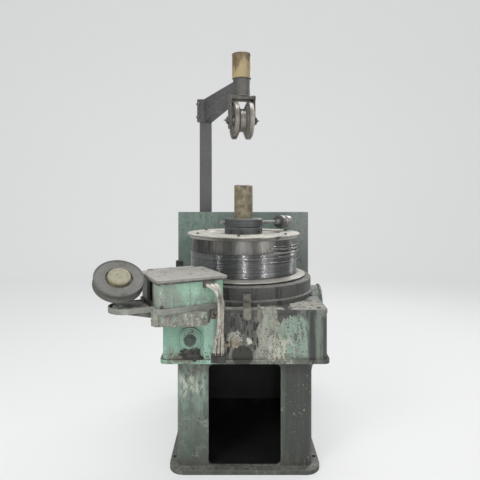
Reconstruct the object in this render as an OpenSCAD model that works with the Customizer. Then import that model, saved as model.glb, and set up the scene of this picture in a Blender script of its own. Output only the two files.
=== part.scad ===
// Wire drawing machine: one upright drawing drum on a gear housing and a hollow pedestal.
// The wire runs over the guide wheel, through the die box and onto the drum, and leaves
// over the flyer roller and the overhead sheave.
// Millimetres. The origin lies on the drum axis at floor level, +X right, +Y back, +Z up.

/* [Pedestal] */
// Width of the pedestal
ped_w = 630; // [560:10:690]
// Depth of the pedestal
ped_d = 720; // [620:10:780]
// Height of the pedestal
ped_h = 520; // [420:10:600]
// Thickness of the pedestal's walls and top
ped_wall = 20; // [14:1:28]
// Radius of the pedestal's upright corners
ped_r = 35; // [30:1:60]
// Width of the opening at the front
ped_gap = 336; // [260:4:420]
// Height of the rail above the opening
ped_rail = 28; // [20:1:60]
// Radius of the opening's corners
ped_gap_r = 24; // [10:1:40]
// How far the base plate stands out round the pedestal
foot_lip = 36; // [26:1:50]
// Thickness of the base plate
foot_t = 20; // [12:1:30]
// Diameter of the floor bolt holes
anchor_d = 18; // [12:1:22]
// Distance between the floor bolts, front to back
anchor_y = 560; // [400:10:640]

/* [Gear housing] */
// Width of the gear housing
hous_w = 750; // [720:5:820]
// Depth of the gear housing
hous_d = 852; // [800:4:900]
// Height of the gear housing
hous_h = 240; // [200:5:300]
// Radius of the housing's upright corners
hous_r = 20; // [10:1:40]
// How far the bottom lip of the housing stands out
lip_out = 8; // [4:1:14]
// Height of the bottom lip of the housing
lip_h = 18; // [10:1:30]
// Thickness of the housing's cover plate
cover_t = 16; // [8:1:24]
// How far the walls stand back under the cover plate
cover_out = 3; // [1:1:6]

/* [Table] */
// Diameter of the round table under the drum
table_d = 736; // [700:4:744]
// Height of the table
table_h = 90; // [70:2:120]
// Height of the wide skirt at the table's foot
table_skirt = 26; // [15:1:40]
// How far the table's wall stands back above the skirt
table_step = 8; // [4:1:14]
// Depth of the pan in the table's top
table_pan = 10; // [4:1:16]
// Width of the table's top rim
table_rim = 34; // [20:1:50]

/* [Drum] */
// Diameter of the drum
drum_d = 560; // [500:5:580]
// Height of the drum between its flanges
drum_h = 185; // [150:5:220]
// Gap between the table and the turning drum
drum_lift = 6; // [5:0.5:10]
// Diameter of the lower flange
foot_ring_d = 658; // [610:2:664]
// Thickness of the lower flange
foot_ring_t = 12; // [8:1:18]
// Thickness of the lower flange at its edge
foot_ring_edge = 5; // [3:0.5:8]
// Width of the lower flange under the drum's wall
foot_ring_in = 40; // [20:1:60]
// Diameter of the top flange
flange_d = 606; // [590:2:616]
// Thickness of the top flange's rim
flange_t = 12; // [8:1:16]
// Height of the bead under the rim
bead_h = 11; // [6:1:16]
// Diameter of the sunk middle of the top flange
flange_in_d = 400; // [340:5:440]
// Depth of the sunk middle of the top flange
flange_in_t = 6; // [2:1:8]
// How much smaller the drum's radius is at the top
drum_taper = 4; // [1:1:8]
// Diameter of the drawn wire
wire_d = 6.4; // [4:0.1:8]
// Turns of wire on the drum
wire_turns = 20; // [8:1:24]
// Diameter of the drum's spindle
spindle_d = 90; // [70:2:110]
// Length of the spindle inside the housing
spindle_in = 150; // [100:5:180]

/* [Hub and flyer] */
// Diameter of the hub and of the flyer ring
hub_d = 204; // [180:2:230]
// Height of the hub under the flyer ring
hub_h = 36; // [26:1:46]
// Height of the flyer ring
ring_h = 46; // [36:1:56]
// Diameter of the spindle's stub
stub_d = 100; // [84:1:110]
// Wall thickness of the stub at its open top
stub_wall = 15; // [8:1:20]
// Height of the stub above the flyer ring
stub_up = 179; // [120:1:220]
// Direction of the flyer rod, from the right towards the back
flyer_turn = 10; // [0:5:90]
// Diameter of the flyer rod
rod_d = 20; // [14:1:24]
// Distance from the drum axis to the end of the flyer rod
rod_reach = 188; // [176:1:190]
// Turn of the roller's pin from the flyer rod
pin_turn = 46; // [40:1:60]
// Diameter of the roller's pin
roller_pin_d = 16; // [12:1:20]
// Length of the roller
roller_l = 114; // [90:1:116]
// Diameter of the roller's flange next to the rod
roller_d = 74; // [62:1:78]
// Diameter of the roller at its far end
roller_end_d = 62; // [58:1:72]
// Diameter of the roller at the bottom of its groove
roller_neck = 50; // [40:1:56]
// Diameter of the flyer's clamp screw
clamp_d = 14; // [10:1:18]

/* [Overhead sheave] */
// Side position of the overhead sheave
over_x = -10; // [-30:1:10]
// Turn of the sheave and its yoke, from the right towards the back
over_turn = 10; // [0:1:20]
// Height of the sheave's axle
sheave_z = 1682; // [1600:2:1690]
// Diameter of the sheave
sheave_d = 205; // [180:1:215]
// Width of the sheave
sheave_w = 104; // [84:1:110]
// Thickness of each rim of the sheave
sheave_rim = 26; // [16:1:30]
// Diameter at the bottom of the sheave's groove
sheave_neck = 119; // [100:1:130]
// Diameter of the sheave's axle
axle_d = 25; // [18:1:32]
// Room between the sheave and each side plate
sheave_gap = 6; // [5:0.5:10]
// Thickness of the yoke's side plates
yoke_t = 12; // [8:1:18]
// Width of the yoke's side plates, front to back
yoke_w = 62; // [50:1:80]
// Height of the yoke's top plate above the axle
yoke_rise = 110; // [109:1:140]
// Thickness of the yoke's top plate
yoke_top_t = 18; // [10:1:24]
// Diameter of the holes high in the yoke's side plates
yoke_hole_d = 14; // [8:1:20]
// How far the yoke's left plate reaches below the axle
yoke_low = 42; // [34:1:60]

/* [Hanger, arm and post] */
// Diameter of the hanger's sleeve
hanger_d = 92; // [80:1:100]
// Diameter of the hanger pipe
pipe_d = 103; // [94:1:120]
// Height of the hanger's sleeve
sleeve_h = 98; // [80:1:120]
// Height of the hanger pipe above its sleeve
hanger_h = 133; // [100:1:200]
// Side position of the post
post_x = -240; // [-280:5:-200]
// Position of the post behind the drum axis
post_y = 530; // [500:5:560]
// Width of the square post
post_w = 76; // [60:1:90]
// Thickness of the post's walls
post_wall = 8; // [4:1:12]
// Depth of the arm at the post
arm_deep = 150; // [110:1:180]
// Height of the arm's underside above the yoke, at the hanger
arm_rise = 14; // [8:1:40]
// Width of the arm's flanges
arm_w = 54; // [40:1:70]
// Thickness of the arm's web and flanges
arm_t = 9; // [6:1:14]
// Number of holes in the arm's web
arm_holes = 5; // [3:1:6]
// Diameter of the holes in the arm's web
arm_hole_d = 25; // [12:1:36]

/* [Die box] */
// Turn of the wire line, from the right towards the back
die_turn = 27; // [20:1:34]
// Distance of the die box from the point where the wire meets the drum
die_reach = 458; // [450:1:480]
// Length of the die box
box_l = 290; // [250:2:300]
// Width of the die box
box_w = 266; // [230:2:270]
// Height of the die box
box_h = 119; // [100:1:140]
// Thickness of the die box's walls
box_wall = 14; // [8:1:18]
// Radius of the die box's upright corners
box_r = 18; // [16:1:36]
// Thickness of the lid
lid_t = 10; // [6:1:14]
// How far the lid stands out over the walls
lid_out = 10; // [4:1:12]
// Width of the slot in the left end of the box
slot_w = 84; // [50:1:110]
// Height of the wire line above the drum's lower flange
wire_up = 9; // [4:1:16]
// Diameter of the hole where the wire leaves the box
exit_d = 26; // [14:1:40]
// Diameter of the lid's hinge pin
pin_d = 8; // [6:1:10]
// Distance of the hinge pin behind the box
pin_out = 15; // [13:1:18]
// Width of the die holder
holder_w = 120; // [90:2:150]
// Thickness of the die holder
holder_t = 44; // [30:1:60]

/* [Tray and bracket] */
// Height of the tray's underside above the cover plate
tray_up = 35; // [28:1:50]
// Thickness of the tray
tray_t = 8; // [5:1:12]
// How far the tray stands out round the die box
tray_out = 9; // [4:1:14]
// Distance from the die box's middle to the round centre of the tray's end
tray_reach = 244; // [236:1:256]
// Width of the tray's end
tray_w = 150; // [130:2:170]
// Height of the tray's rim
tray_rim_h = 23; // [16:1:34]
// Thickness of the tray's rim
tray_wall = 5; // [3:0.5:6]
// Thickness of the bracket under the tray
bracket_t = 50; // [40:1:60]
// Radius of the bracket's front right corner
bracket_nose = 40; // [20:1:60]
// Left edge of the bracket
bracket_x0 = -388; // [-400:1:-370]
// Right edge of the bracket
bracket_x1 = -150; // [-180:1:-140]
// How far the bracket stands out in front of the housing
bracket_out = 176; // [140:1:200]
// How far the bracket reaches back over the housing
bracket_back = 110; // [80:1:120]

/* [Guide wheel] */
// Distance of the guide wheel from the die box's middle
wheel_dist = 277; // [270:1:282]
// Height of the guide wheel's centre above the wire line
wheel_up = 43; // [40:1:60]
// Rise of the guide wheel's axle above the level
wheel_rise = 54; // [46:1:60]
// Diameter of the guide wheel
wheel_d = 207; // [190:1:210]
// Width of the guide wheel
wheel_w = 46; // [38:1:50]
// Diameter at the bottom of the guide wheel's groove
wheel_neck = 168; // [150:1:180]
// Diameter of the guide wheel's cap
cap_d = 95; // [80:1:110]
// How far the cap stands proud of the wheel
cap_up = 9; // [4:1:14]
// Diameter of the guide wheel's axle
wheel_axle_d = 30; // [22:1:36]
// Diameter of the boss behind the guide wheel
wheel_boss_d = 68; // [58:1:80]
// Length of the boss behind the guide wheel
wheel_boss_l = 45; // [36:1:56]

/* [Rear guard] */
// Left edge of the rear guard
guard_x0 = -409; // [-420:1:-390]
// Right edge of the rear guard
guard_x1 = 419; // [390:1:430]
// Height of the rear guard's top edge above the cover plate
guard_up = 409; // [340:1:440]
// Height of the rear guard's foot above the housing's foot
guard_foot = 64; // [58:1:120]
// Thickness of the rear guard's sheet
guard_t = 6; // [3:1:10]
// Width of the guard's folded edges
guard_fold = 34; // [20:1:50]

/* [Fittings] */
// Diameter of the front boss
boss_d = 110; // [90:1:124]
// How far the front boss stands out
boss_out = 12; // [8:1:24]
// Diameter of the hole in the front boss
boss_hole_d = 58; // [40:1:70]
// Width of the wide strap at the front edge
strap_w = 37; // [26:1:46]
// Width of the narrow strap at the front edge
strap_narrow = 16; // [10:1:24]
// Thickness of the straps
strap_t = 6; // [3:1:8]
// Diameter of each coolant hose
hose_d = 15; // [10:1:17]
// Distance between the coolant hoses
hose_pitch = 19; // [18:1:22]

/* [Drive] */
// Diameter of the motor's body
motor_d = 230; // [190:2:240]
// Length of the motor's body
motor_l = 330; // [260:5:360]
// Position of the motor's shaft behind the drum axis
motor_y = 522; // [515:1:530]
// Height of the motor's shaft
motor_z = 225; // [200:1:240]
// Thickness of the belt guard
belt_t = 64; // [40:1:80]
// Position of the gear shaft behind the drum axis
input_y = 190; // [150:5:240]
// Height of the gear shaft above the housing's foot
input_up = 125; // [100:5:140]
// Radius of the belt guard round the gear shaft
belt_r1 = 104; // [98:2:104]
// Radius of the belt guard round the motor's shaft
belt_r2 = 92; // [80:2:96]
// Right edge of the rear base plate
base_x1 = 350; // [350:2:370]
// Rear edge of the rear base plate
base_y1 = 640; // [636:2:660]

/* [Hidden] */
$fn = 96;

green = "#8fb5a0";
dark_green = "#69917f";
grease = "#464648";
steel = "#505254";
pale = "#c8c3b9";
khaki = "#beaf7d";
grey = "#8c8a84";
blue_grey = "#50525a";

// Running clearance at shafts and pins.
run_gap = 0.3;
// A cut reaches this far past the face that it starts from.
past = 1;

// The groove of the overhead sheave.
groove_steps = 3;
groove_deep = (sheave_d - sheave_neck) / 2 - 6;

// The stack of heights.
hous_top = ped_h + hous_h;
table_top = hous_top + table_h;
drum_z = table_top + drum_lift;
wrap_z = drum_z + foot_ring_t;
flange_z = wrap_z + drum_h;
flange_top = flange_z + bead_h + flange_t;
hub_z = flange_top - flange_in_t;
hub_top = hub_z + hub_h;
ring_z = hub_top + run_gap;
ring_top = ring_z + ring_h;
rod_z = ring_z + ring_h / 2;
stub_top = ring_top + stub_up;
wall_back = hous_d / 2;
front_y = -hous_d / 2;
table_r = table_d / 2;
drum_r = drum_d / 2;
wire_r = drum_r + wire_d / 2;

// The base plate's bolts stand in the middle of its lip.
anchor_x = ped_w + foot_lip;

// The die box stands on the wire line, which touches the wire on the drum.
tray_z = hous_top + tray_up;
tray_top = tray_z + tray_t;
wire_z = wrap_z + wire_up;
wheel_z = wire_z + wheel_up;
guard_top = hous_top + guard_up;
input_z = ped_h + input_up;
box_top = tray_top + box_h;
pin_y = box_w / 2 + pin_out;
pin_z = box_top + lid_t / 2;
knuckle_d = pin_d + 10;
ear_w = 22;
ear_step = 100;
table_room = 5;

// Heights of the overhead group.
yoke_z = sheave_z + yoke_rise;
yoke_in = sheave_w + 2 * sheave_gap;
sleeve_z = yoke_z + yoke_top_t;
sleeve_top = sleeve_z + sleeve_h;
arm_dx = over_x - post_x;
arm_len = norm([arm_dx, post_y]);
arm_turn = atan2(-post_y, arm_dx);
arm_top = sleeve_top - 6;

// Places of the small parts on the housing's front.
boss_x = -246;
boss_z = ped_h + 107;
port_x = -246;
port_h = 32;
port_z = ped_h + lip_h + port_h / 2;
strap_x = 10;
strap_narrow_x = 64;
strap_drop = 46;
hose_x = -118;
manifold_h = 28;
manifold_y = front_y - 26;

// The hoses leave the die box near its right end.
hose_local_x = 72;
hose_over_x = 112;
hose_z = box_top - 21;
nipple_l = 16;
hose_drop_out = 34;
hose_sides = 12;
hose_steps = 14;

belt_x = hous_w / 2 + lip_out;
base_y0 = ped_d / 2 + foot_lip;
base_t = foot_t;
rail_h = 40;
feet_x = [motor_l * 0.18, motor_l * 0.76];

// A flat shape with round corners, centred.
module rounded_plate(w, d, r) {
    square([w - 2 * r, d], center = true);
    square([w, d - 2 * r], center = true);
    for (sx = [-1, 1], sy = [-1, 1])
        translate([sx * (w / 2 - r), sy * (d / 2 - r)]) circle(r = r);
}

// A block with round upright corners, standing on its own floor.
module rounded_block(w, d, h, r) {
    linear_extrude(height = h) rounded_plate(w, d, r);
}

// A shaft or bore along X, centred.
module bar_x(d, l) {
    rotate([0, 90, 0]) cylinder(d = d, h = l, center = true);
}

// The frame of the die box: its middle at floor level, with the wire line along X.
module at_die() {
    rotate([0, 0, die_turn]) translate([-die_reach, -wire_r, 0]) children();
}

// The frame of the guide wheel: its centre, with its axle along Z.
module at_wheel() {
    at_die() translate([-wheel_dist, 0, wheel_z]) rotate([90 - wheel_rise, 0, 0]) children();
}

// The frame of the flyer rod: the drum axis at the rod's height, with the rod along Z.
module at_rod() {
    translate([0, 0, rod_z]) rotate([0, 0, flyer_turn]) rotate([0, 90, 0]) children();
}

// The frame of the roller: the end of the flyer rod, with the roller's pin along Z.
module at_roller() {
    at_rod() translate([0, 0, rod_reach]) rotate([-pin_turn, 0, 0]) children();
}

// The frame of the sheave and its yoke: the hanger's axis at floor level, with the axle along X.
module at_over() {
    translate([over_x, 0, 0]) rotate([0, 0, over_turn]) children();
}

// The frame of the arm: the post's axis at floor level, with the arm along X.
module at_arm() {
    translate([post_x, post_y, 0]) rotate([0, 0, arm_turn]) children();
}

// The room that the table takes from pieces that reach over the housing's corner.
module table_space(extra) {
    cylinder(r = table_r + table_room + extra, h = table_top + table_room + extra);
}

module pedestal() {
    inner_r = ped_r - ped_wall + 10;
    color(green) difference() {
        union() {
            rounded_block(ped_w, ped_d, ped_h, ped_r);
            rounded_block(ped_w + 2 * foot_lip, ped_d + 2 * foot_lip, foot_t, ped_r + foot_lip);
        }
        translate([0, 0, foot_t])
            rounded_block(ped_w - 2 * ped_wall, ped_d - 2 * ped_wall, ped_h - foot_t - ped_wall, inner_r);
        translate([0, -ped_d / 2, (foot_t + ped_h - ped_rail) / 2]) rotate([90, 0, 0])
            linear_extrude(height = 2 * (ped_wall + past), center = true)
                rounded_plate(ped_gap, ped_h - ped_rail - foot_t, ped_gap_r);
        for (sx = [-1, 1], sy = [-1, 1])
            translate([sx * anchor_x / 2, sy * anchor_y / 2, -past])
                cylinder(d = anchor_d, h = foot_t + 2 * past);
    }
}

module gear_housing() {
    color(green) translate([0, 0, ped_h]) difference() {
        union() {
            rounded_block(hous_w + 2 * lip_out, hous_d + 2 * lip_out, lip_h, hous_r + lip_out);
            rounded_block(hous_w - 2 * cover_out, hous_d - 2 * cover_out, hous_h, hous_r);
            translate([0, 0, hous_h - cover_t]) rounded_block(hous_w, hous_d, cover_t, hous_r + cover_out);
        }
        translate([0, 0, hous_h - spindle_in])
            cylinder(d = spindle_d + 2 * run_gap, h = spindle_in + past);
    }
}

module table_ring() {
    bore = spindle_d / 2 + run_gap;
    wall = table_r - table_step;
    edge = 6;
    color(green) translate([0, 0, hous_top]) rotate_extrude() polygon([
        [bore, 0], [table_r, 0], [table_r, table_skirt - edge], [wall, table_skirt],
        [wall, table_h - edge], [wall - edge, table_h], [wall - table_rim, table_h],
        [wall - table_rim, table_h - table_pan], [bore, table_h - table_pan]
    ]);
}

// Round flange with a groove near its rim, and a plug deep in its hole.
module front_boss() {
    groove = 5;
    rim_in = boss_d - 2 * groove;
    color(green) translate([boss_x, front_y + cover_out, boss_z]) rotate([90, 0, 0]) {
        difference() {
            union() {
                cylinder(d = boss_d, h = boss_out - 3);
                cylinder(d = boss_hole_d + 14, h = boss_out);
            }
            translate([0, 0, 2]) cylinder(d = boss_hole_d, h = boss_out);
            translate([0, 0, boss_out - 6]) difference() {
                cylinder(d = rim_in, h = boss_out);
                translate([0, 0, -past]) cylinder(d = rim_in - 2 * groove, h = boss_out + 2 * past);
            }
        }
        cylinder(d = boss_hole_d * 0.42, h = boss_out - 4);
    }
}

module lower_port() {
    color(grease) translate([port_x, front_y + cover_out, port_z]) rotate([90, 0, 0]) difference() {
        rounded_block(2 * port_h, port_h, 12, 10);
        translate([0, 0, 6]) cylinder(d = port_h - 10, h = 7);
    }
}

// Bent strip: up against the table, across the cover plate and down the housing's front.
module strap(w, up) {
    back = -(table_r - strap_t);
    up_top = hous_top + up;
    low = hous_top - strap_drop + w / 2;
    color(steel) {
        translate([-w / 2, 0, 0]) rotate([90, 0, 90]) linear_extrude(height = w) polygon([
            [front_y, hous_top], [front_y, low], [front_y - strap_t, low],
            [front_y - strap_t, hous_top + strap_t], [back - 2 * strap_t - run_gap, hous_top + strap_t],
            [back - 2 * strap_t - run_gap, up_top], [back - strap_t - run_gap, up_top],
            [back - strap_t - run_gap, hous_top]
        ]);
        translate([0, front_y, low]) rotate([90, 0, 0]) cylinder(d = w, h = strap_t);
    }
}

module wide_strap() {
    translate([strap_x, 0, 0]) strap(strap_w, 60);
}

module narrow_strap() {
    translate([strap_narrow_x, 0, 0]) strap(strap_narrow, 14);
}

module rear_guard() {
    foot = ped_h + guard_foot;
    w = guard_x1 - guard_x0;
    h = guard_top - foot;
    color(dark_green) translate([guard_x0, wall_back, foot]) {
        cube([w, guard_t, h]);
        translate([0, 0, h - guard_t]) cube([w, guard_fold, guard_t]);
        for (x = [0, w - guard_t]) translate([x, 0, 0]) cube([guard_t, guard_fold, h]);
    }
}

module guard_bracket() {
    h = 46;
    out = 14;
    lap = 26;
    t = 10;
    color(grease) translate([guard_x0 - out, wall_back, hous_top + 52]) {
        translate([0, -t, 0]) cube([out + lap, t, h]);
        cube([out, guard_fold, h]);
    }
}

// Flat plate behind the pedestal: the post and the motor's rails stand on it.
module rear_base() {
    x0 = post_x - post_w;
    rail_w = 44;
    color(green) {
        translate([x0, base_y0, 0]) cube([base_x1 - x0, base_y1 - base_y0, base_t]);
        for (x = feet_x)
            translate([x - rail_w / 2, base_y0 + 14, base_t])
                cube([rail_w, base_y1 - base_y0 - 28, rail_h]);
    }
}

// Square hollow section with a foot plate, four gussets and a cap.
module post() {
    foot = post_w + 60;
    color(blue_grey) translate([post_x, post_y, base_t]) difference() {
        union() {
            rounded_block(post_w, post_w, arm_top - base_t, 6);
            translate([-foot / 2, -foot / 2, 0]) cube([foot, foot, 14]);
            for (a = [0, 90]) rotate([90, 0, a]) linear_extrude(height = 8, center = true)
                polygon([[-foot / 2, 0], [foot / 2, 0], [foot / 2, 20], [post_w / 2, 90],
                    [-post_w / 2, 90], [-foot / 2, 20]]);
        }
        translate([0, 0, -past])
            rounded_block(post_w - 2 * post_wall, post_w - 2 * post_wall, arm_top - base_t - 10, 4);
    }
}

// Tapered channel with an end plate on the post: the web has a row of holes.
module overhead_arm() {
    x0 = post_w / 2;
    run = arm_len - x0;
    low0 = arm_top - arm_deep;
    low1 = sleeve_z + arm_rise;
    step = (run - hanger_d / 2) / (arm_holes + 1);
    plate_w = post_w + 14;
    color(blue_grey) difference() {
        union() {
            at_arm() difference() {
                union() {
                    translate([x0, -arm_w / 2 + arm_t, 0]) rotate([90, 0, 0]) linear_extrude(height = arm_t)
                        polygon([[0, low0], [run, low1], [run, arm_top], [0, arm_top]]);
                    translate([x0, arm_w / 2, 0]) rotate([90, 0, 0]) linear_extrude(height = arm_w)
                        polygon([[0, low0], [run, low1], [run, low1 + arm_t], [0, low0 + arm_t]]);
                    translate([x0, -arm_w / 2, arm_top - arm_t]) cube([run, arm_w, arm_t]);
                }
                for (i = [1 : arm_holes]) let (at = i * step, low = low0 + (low1 - low0) * at / run)
                    translate([x0 + at, 0, (low + arm_top) / 2])
                        rotate([90, 0, 0]) cylinder(d = arm_hole_d, h = 2 * arm_w, center = true);
            }
            translate([post_x + post_w / 2 - plate_w, post_y - post_w / 2 - arm_t, low0])
                cube([plate_w, arm_t, arm_deep]);
        }
        translate([over_x, 0, 0]) cylinder(d = hanger_d, h = arm_top + past);
        translate([post_x - post_w / 2, post_y - post_w / 2, 0]) cube([post_w, post_w, arm_top + past]);
    }
}

module hanger_sleeve() {
    color(grey) translate([over_x, 0, sleeve_z]) cylinder(d = hanger_d, h = sleeve_h);
}

module hanger_pipe() {
    ring = 10;
    color(khaki) translate([over_x, 0, sleeve_top]) {
        cylinder(d = pipe_d, h = hanger_h);
        translate([0, 0, hanger_h - ring]) cylinder(d = pipe_d + 3, h = ring);
    }
}

// Fork over the sheave: a top plate and two side plates with round ends.
module yoke() {
    bore = axle_d + 2 * run_gap;
    left = -yoke_in / 2 - yoke_t;
    top_d = yoke_w + 16;
    hole_drop = 38;
    color(grey) at_over() difference() {
        union() {
            translate([left, -top_d / 2, yoke_z]) cube([yoke_in + 2 * yoke_t, top_d, yoke_top_t]);
            for (s = [-1, 1]) translate([s * (yoke_in + yoke_t) / 2, 0, 0]) {
                translate([-yoke_t / 2, -yoke_w / 2, sheave_z]) cube([yoke_t, yoke_w, yoke_rise + past]);
                translate([0, 0, sheave_z]) bar_x(yoke_w, yoke_t);
            }
            translate([left, -yoke_w / 2, sheave_z - yoke_low]) cube([yoke_t, yoke_w, yoke_low]);
        }
        translate([0, 0, sheave_z]) bar_x(bore, yoke_in + 4 * yoke_t);
        translate([0, -yoke_w / 4, yoke_z - hole_drop]) bar_x(yoke_hole_d, yoke_in + 4 * yoke_t);
    }
}

module sheave_axle() {
    half = yoke_in / 2 + yoke_t;
    nut = 12;
    color(grease) at_over() translate([0, 0, sheave_z]) {
        bar_x(axle_d, 2 * half + 2 * nut + 8);
        for (s = [-1, 1]) translate([s * (half + nut / 2), 0, 0]) rotate([0, 90, 0])
            cylinder(d = axle_d * 1.7, h = nut, center = true, $fn = 6);
    }
}

// One side of the sheave's groove: small steps from the rim down to the seat.
function groove_side(side) = [
    for (i = [0 : groove_steps - 1]) let (
        r = sheave_d / 2 - 6 - i * groove_deep / groove_steps, half = groove_half(i)
    ) each [[r, side * half], [r - groove_deep / groove_steps + 3, side * (half - 2)]]
];
function groove_half(i) = (sheave_w / 2 - sheave_rim) * (1 - 0.62 * i / groove_steps);

// Wide rims, and between them a stepped groove.
module sheave() {
    bore = axle_d / 2 + run_gap;
    half = sheave_w / 2;
    boss = yoke_in / 2 - run_gap;
    rim_r = sheave_d / 2;
    seat = half - sheave_rim;
    bevel = 5;
    web = 8;
    right = groove_side(1);
    color(grey) at_over() translate([0, 0, sheave_z]) rotate([0, 90, 0]) rotate_extrude() polygon(concat(
        [
            [bore, -boss], [axle_d, -boss], [axle_d, -half + web], [rim_r - 26, -half + web],
            [rim_r - 20, -half], [rim_r - bevel, -half], [rim_r, -half + bevel], [rim_r, -seat - 4]
        ],
        groove_side(-1),
        [for (i = [len(right) - 1 : -1 : 0]) right[i]],
        [
            [rim_r, seat + 4], [rim_r, half - bevel], [rim_r - bevel, half], [rim_r - 20, half],
            [rim_r - 26, half - web], [axle_d, half - web], [axle_d, boss], [bore, boss]
        ]
    ));
}

// Thick casting that hooks over the housing's front left corner and carries the tray.
module die_bracket() {
    w = bracket_x1 - bracket_x0;
    nose_r = bracket_nose;
    low = tray_z - bracket_t;
    color(green) difference() {
        union() {
            translate([bracket_x0, front_y - bracket_out, low]) cube([w - nose_r, bracket_out, bracket_t]);
            translate([bracket_x1 - nose_r, front_y - bracket_out + nose_r, low])
                cube([nose_r, bracket_out - nose_r, bracket_t]);
            translate([bracket_x1 - nose_r, front_y - bracket_out + nose_r, low])
                cylinder(r = nose_r, h = bracket_t);
            translate([bracket_x0 + 20, front_y - past, hous_top])
                cube([w - 20, bracket_back + past, tray_z - hous_top]);
            translate([bracket_x0 + 20, front_y - 70, low - 20]) cube([w - 40, 70, 20 + past]);
            translate([bracket_x0 + 90, 0, 0]) rotate([90, 0, 90]) linear_extrude(height = 30)
                polygon([[front_y, low], [front_y - 150, low], [front_y, boss_z + boss_d / 2 + 6]]);
        }
        table_space(0);
    }
}

module bracket_block() {
    low = hous_top - 24;
    w = 26;
    deep = 60;
    room = 4;
    color(grey) translate([bracket_x1, front_y - deep, low]) cube([w, deep, tray_z - low - room]);
}

// Outline of the tray: a plate under the box and a round-ended tongue under the wheel.
module tray_outline(inset) {
    l = box_l + 2 * (tray_out - inset);
    tongue = tray_w - 2 * inset;
    rounded_plate(l, box_w + 2 * (tray_out - inset), box_r + tray_out - inset);
    translate([-tray_reach, 0]) circle(d = tongue);
    translate([-tray_reach, -tongue / 2]) square([tray_reach, tongue]);
}

// Shallow pan with a rim all round, open where it meets the table.
module box_tray() {
    color(grey) difference() {
        at_die() translate([0, 0, tray_z]) difference() {
            linear_extrude(height = tray_rim_h) tray_outline(0);
            translate([0, 0, tray_t]) linear_extrude(height = tray_rim_h) tray_outline(tray_wall);
        }
        table_space(0);
    }
}

// Rib under the tray's tongue.
module tray_gusset() {
    x1 = -box_l / 2 + 10;
    rib_t = 14;
    deep = 44;
    tip = 12;
    color(grey) at_die() translate([0, rib_t / 2, 0]) rotate([90, 0, 0]) linear_extrude(height = rib_t)
        polygon([
            [-tray_reach - 40, tray_z], [x1, tray_z], [x1, tray_z - deep],
            [-tray_reach - 20, tray_z - tip]
        ]);
}

// Open box with round corners. Its back corner makes room for the table.
module die_box() {
    color(green) difference() {
        union() {
            difference() {
                at_die() translate([0, 0, tray_top]) rounded_block(box_l, box_w, box_h, box_r);
                table_space(0);
            }
            at_die() for (i = [-1, 0, 1]) {
                translate([i * ear_step, pin_y, pin_z]) bar_x(knuckle_d, ear_w);
                translate([i * ear_step - ear_w / 2, box_w / 2 - past, box_top - 24])
                    cube([ear_w, pin_out + past, 23]);
            }
        }
        difference() {
            at_die() translate([0, 0, tray_top + box_wall / 2])
                rounded_block(box_l - 2 * box_wall, box_w - 2 * box_wall, box_h, box_r / 2);
            table_space(box_wall);
        }
        at_die() {
            translate([-box_l / 2 - past, -slot_w / 2, tray_top + 22])
                cube([box_wall + 2 * past, slot_w, box_h]);
            translate([box_l / 2, 0, wire_z]) bar_x(exit_d, 3 * box_wall);
            translate([0, pin_y, pin_z]) bar_x(pin_d + 2 * run_gap, 3 * ear_step);
        }
    }
}

// Upright plate with the round die case that the wire is drawn through.
module die_holder() {
    base = tray_top + box_wall / 2;
    case_d = 76;
    mouth_d = 44;
    hole_d = 16;
    x = -box_l / 2 + box_wall + 18;
    color(grease) at_die() difference() {
        union() {
            translate([x, -holder_w / 2, base]) cube([holder_t, holder_w, wire_z - base + 22]);
            translate([x + holder_t, 0, wire_z - 4]) bar_x(case_d, 2 * holder_t - 20);
        }
        translate([x + holder_t / 2, 0, wire_z]) bar_x(hole_d, 4 * holder_t);
        translate([x - past, 0, wire_z]) rotate([0, 90, 0])
            cylinder(d1 = mouth_d, d2 = hole_d, h = 20);
    }
}

module hinge_pin() {
    color(steel) at_die() translate([0, pin_y, pin_z]) bar_x(pin_d, 2 * ear_step + ear_w + 12);
}

module lid() {
    back = 3;
    side = 0.6;
    lid_r = 5;
    l = box_l + 2 * lid_out;
    d = box_w + lid_out + back;
    knuckle_l = ear_step - ear_w - 2 * side;
    color(pale) at_die() difference() {
        union() {
            translate([0, (back - lid_out) / 2, box_top]) rounded_block(l, d, lid_t, lid_r);
            for (s = [-1, 1]) translate([s * ear_step / 2, 0, 0]) {
                translate([0, pin_y, pin_z]) bar_x(knuckle_d, knuckle_l);
                translate([-knuckle_l / 2, box_w / 2 - 10, box_top]) cube([knuckle_l, pin_out + 10, lid_t]);
            }
        }
        translate([0, pin_y, pin_z]) bar_x(pin_d + 2 * run_gap, 3 * ear_step);
    }
}

// Place in the wheel's upright middle plane: along the axle, and across it.
function wheel_point(along, across) = [
    -along * cos(wheel_rise) + across * sin(wheel_rise),
    wheel_z + along * sin(wheel_rise) + across * cos(wheel_rise)
];

collar_t = 7;
boss_front = -wheel_w / 2 - collar_t;
boss_back = boss_front - wheel_boss_l;

module wheel_arm() {
    web_t = 22;
    half = wheel_boss_d / 2 - 6;
    foot_y = 42;
    foot_back = 16;
    foot_front = 34;
    color(green) difference() {
        union() {
            at_wheel() translate([0, 0, boss_back]) cylinder(d = wheel_boss_d, h = boss_front - boss_back);
            at_die() translate([-wheel_dist, 0, 0]) {
                rotate([90, 0, 90]) linear_extrude(height = web_t, center = true) polygon([
                    [-foot_y, tray_top], [20, tray_top], wheel_point(boss_back + 4, -half),
                    wheel_point(boss_back + 4, 0), wheel_point(boss_front - 8, 0),
                    wheel_point(boss_front - 8, -half), [-foot_y, tray_top + 22]
                ]);
                translate([-foot_back, -foot_y, tray_top])
                    cube([foot_back + foot_front, 2 * foot_y, 10]);
            }
        }
        at_wheel() translate([0, 0, boss_back - past])
            cylinder(d = wheel_axle_d + 2 * run_gap, h = boss_front - boss_back + 2 * past);
    }
}

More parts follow.
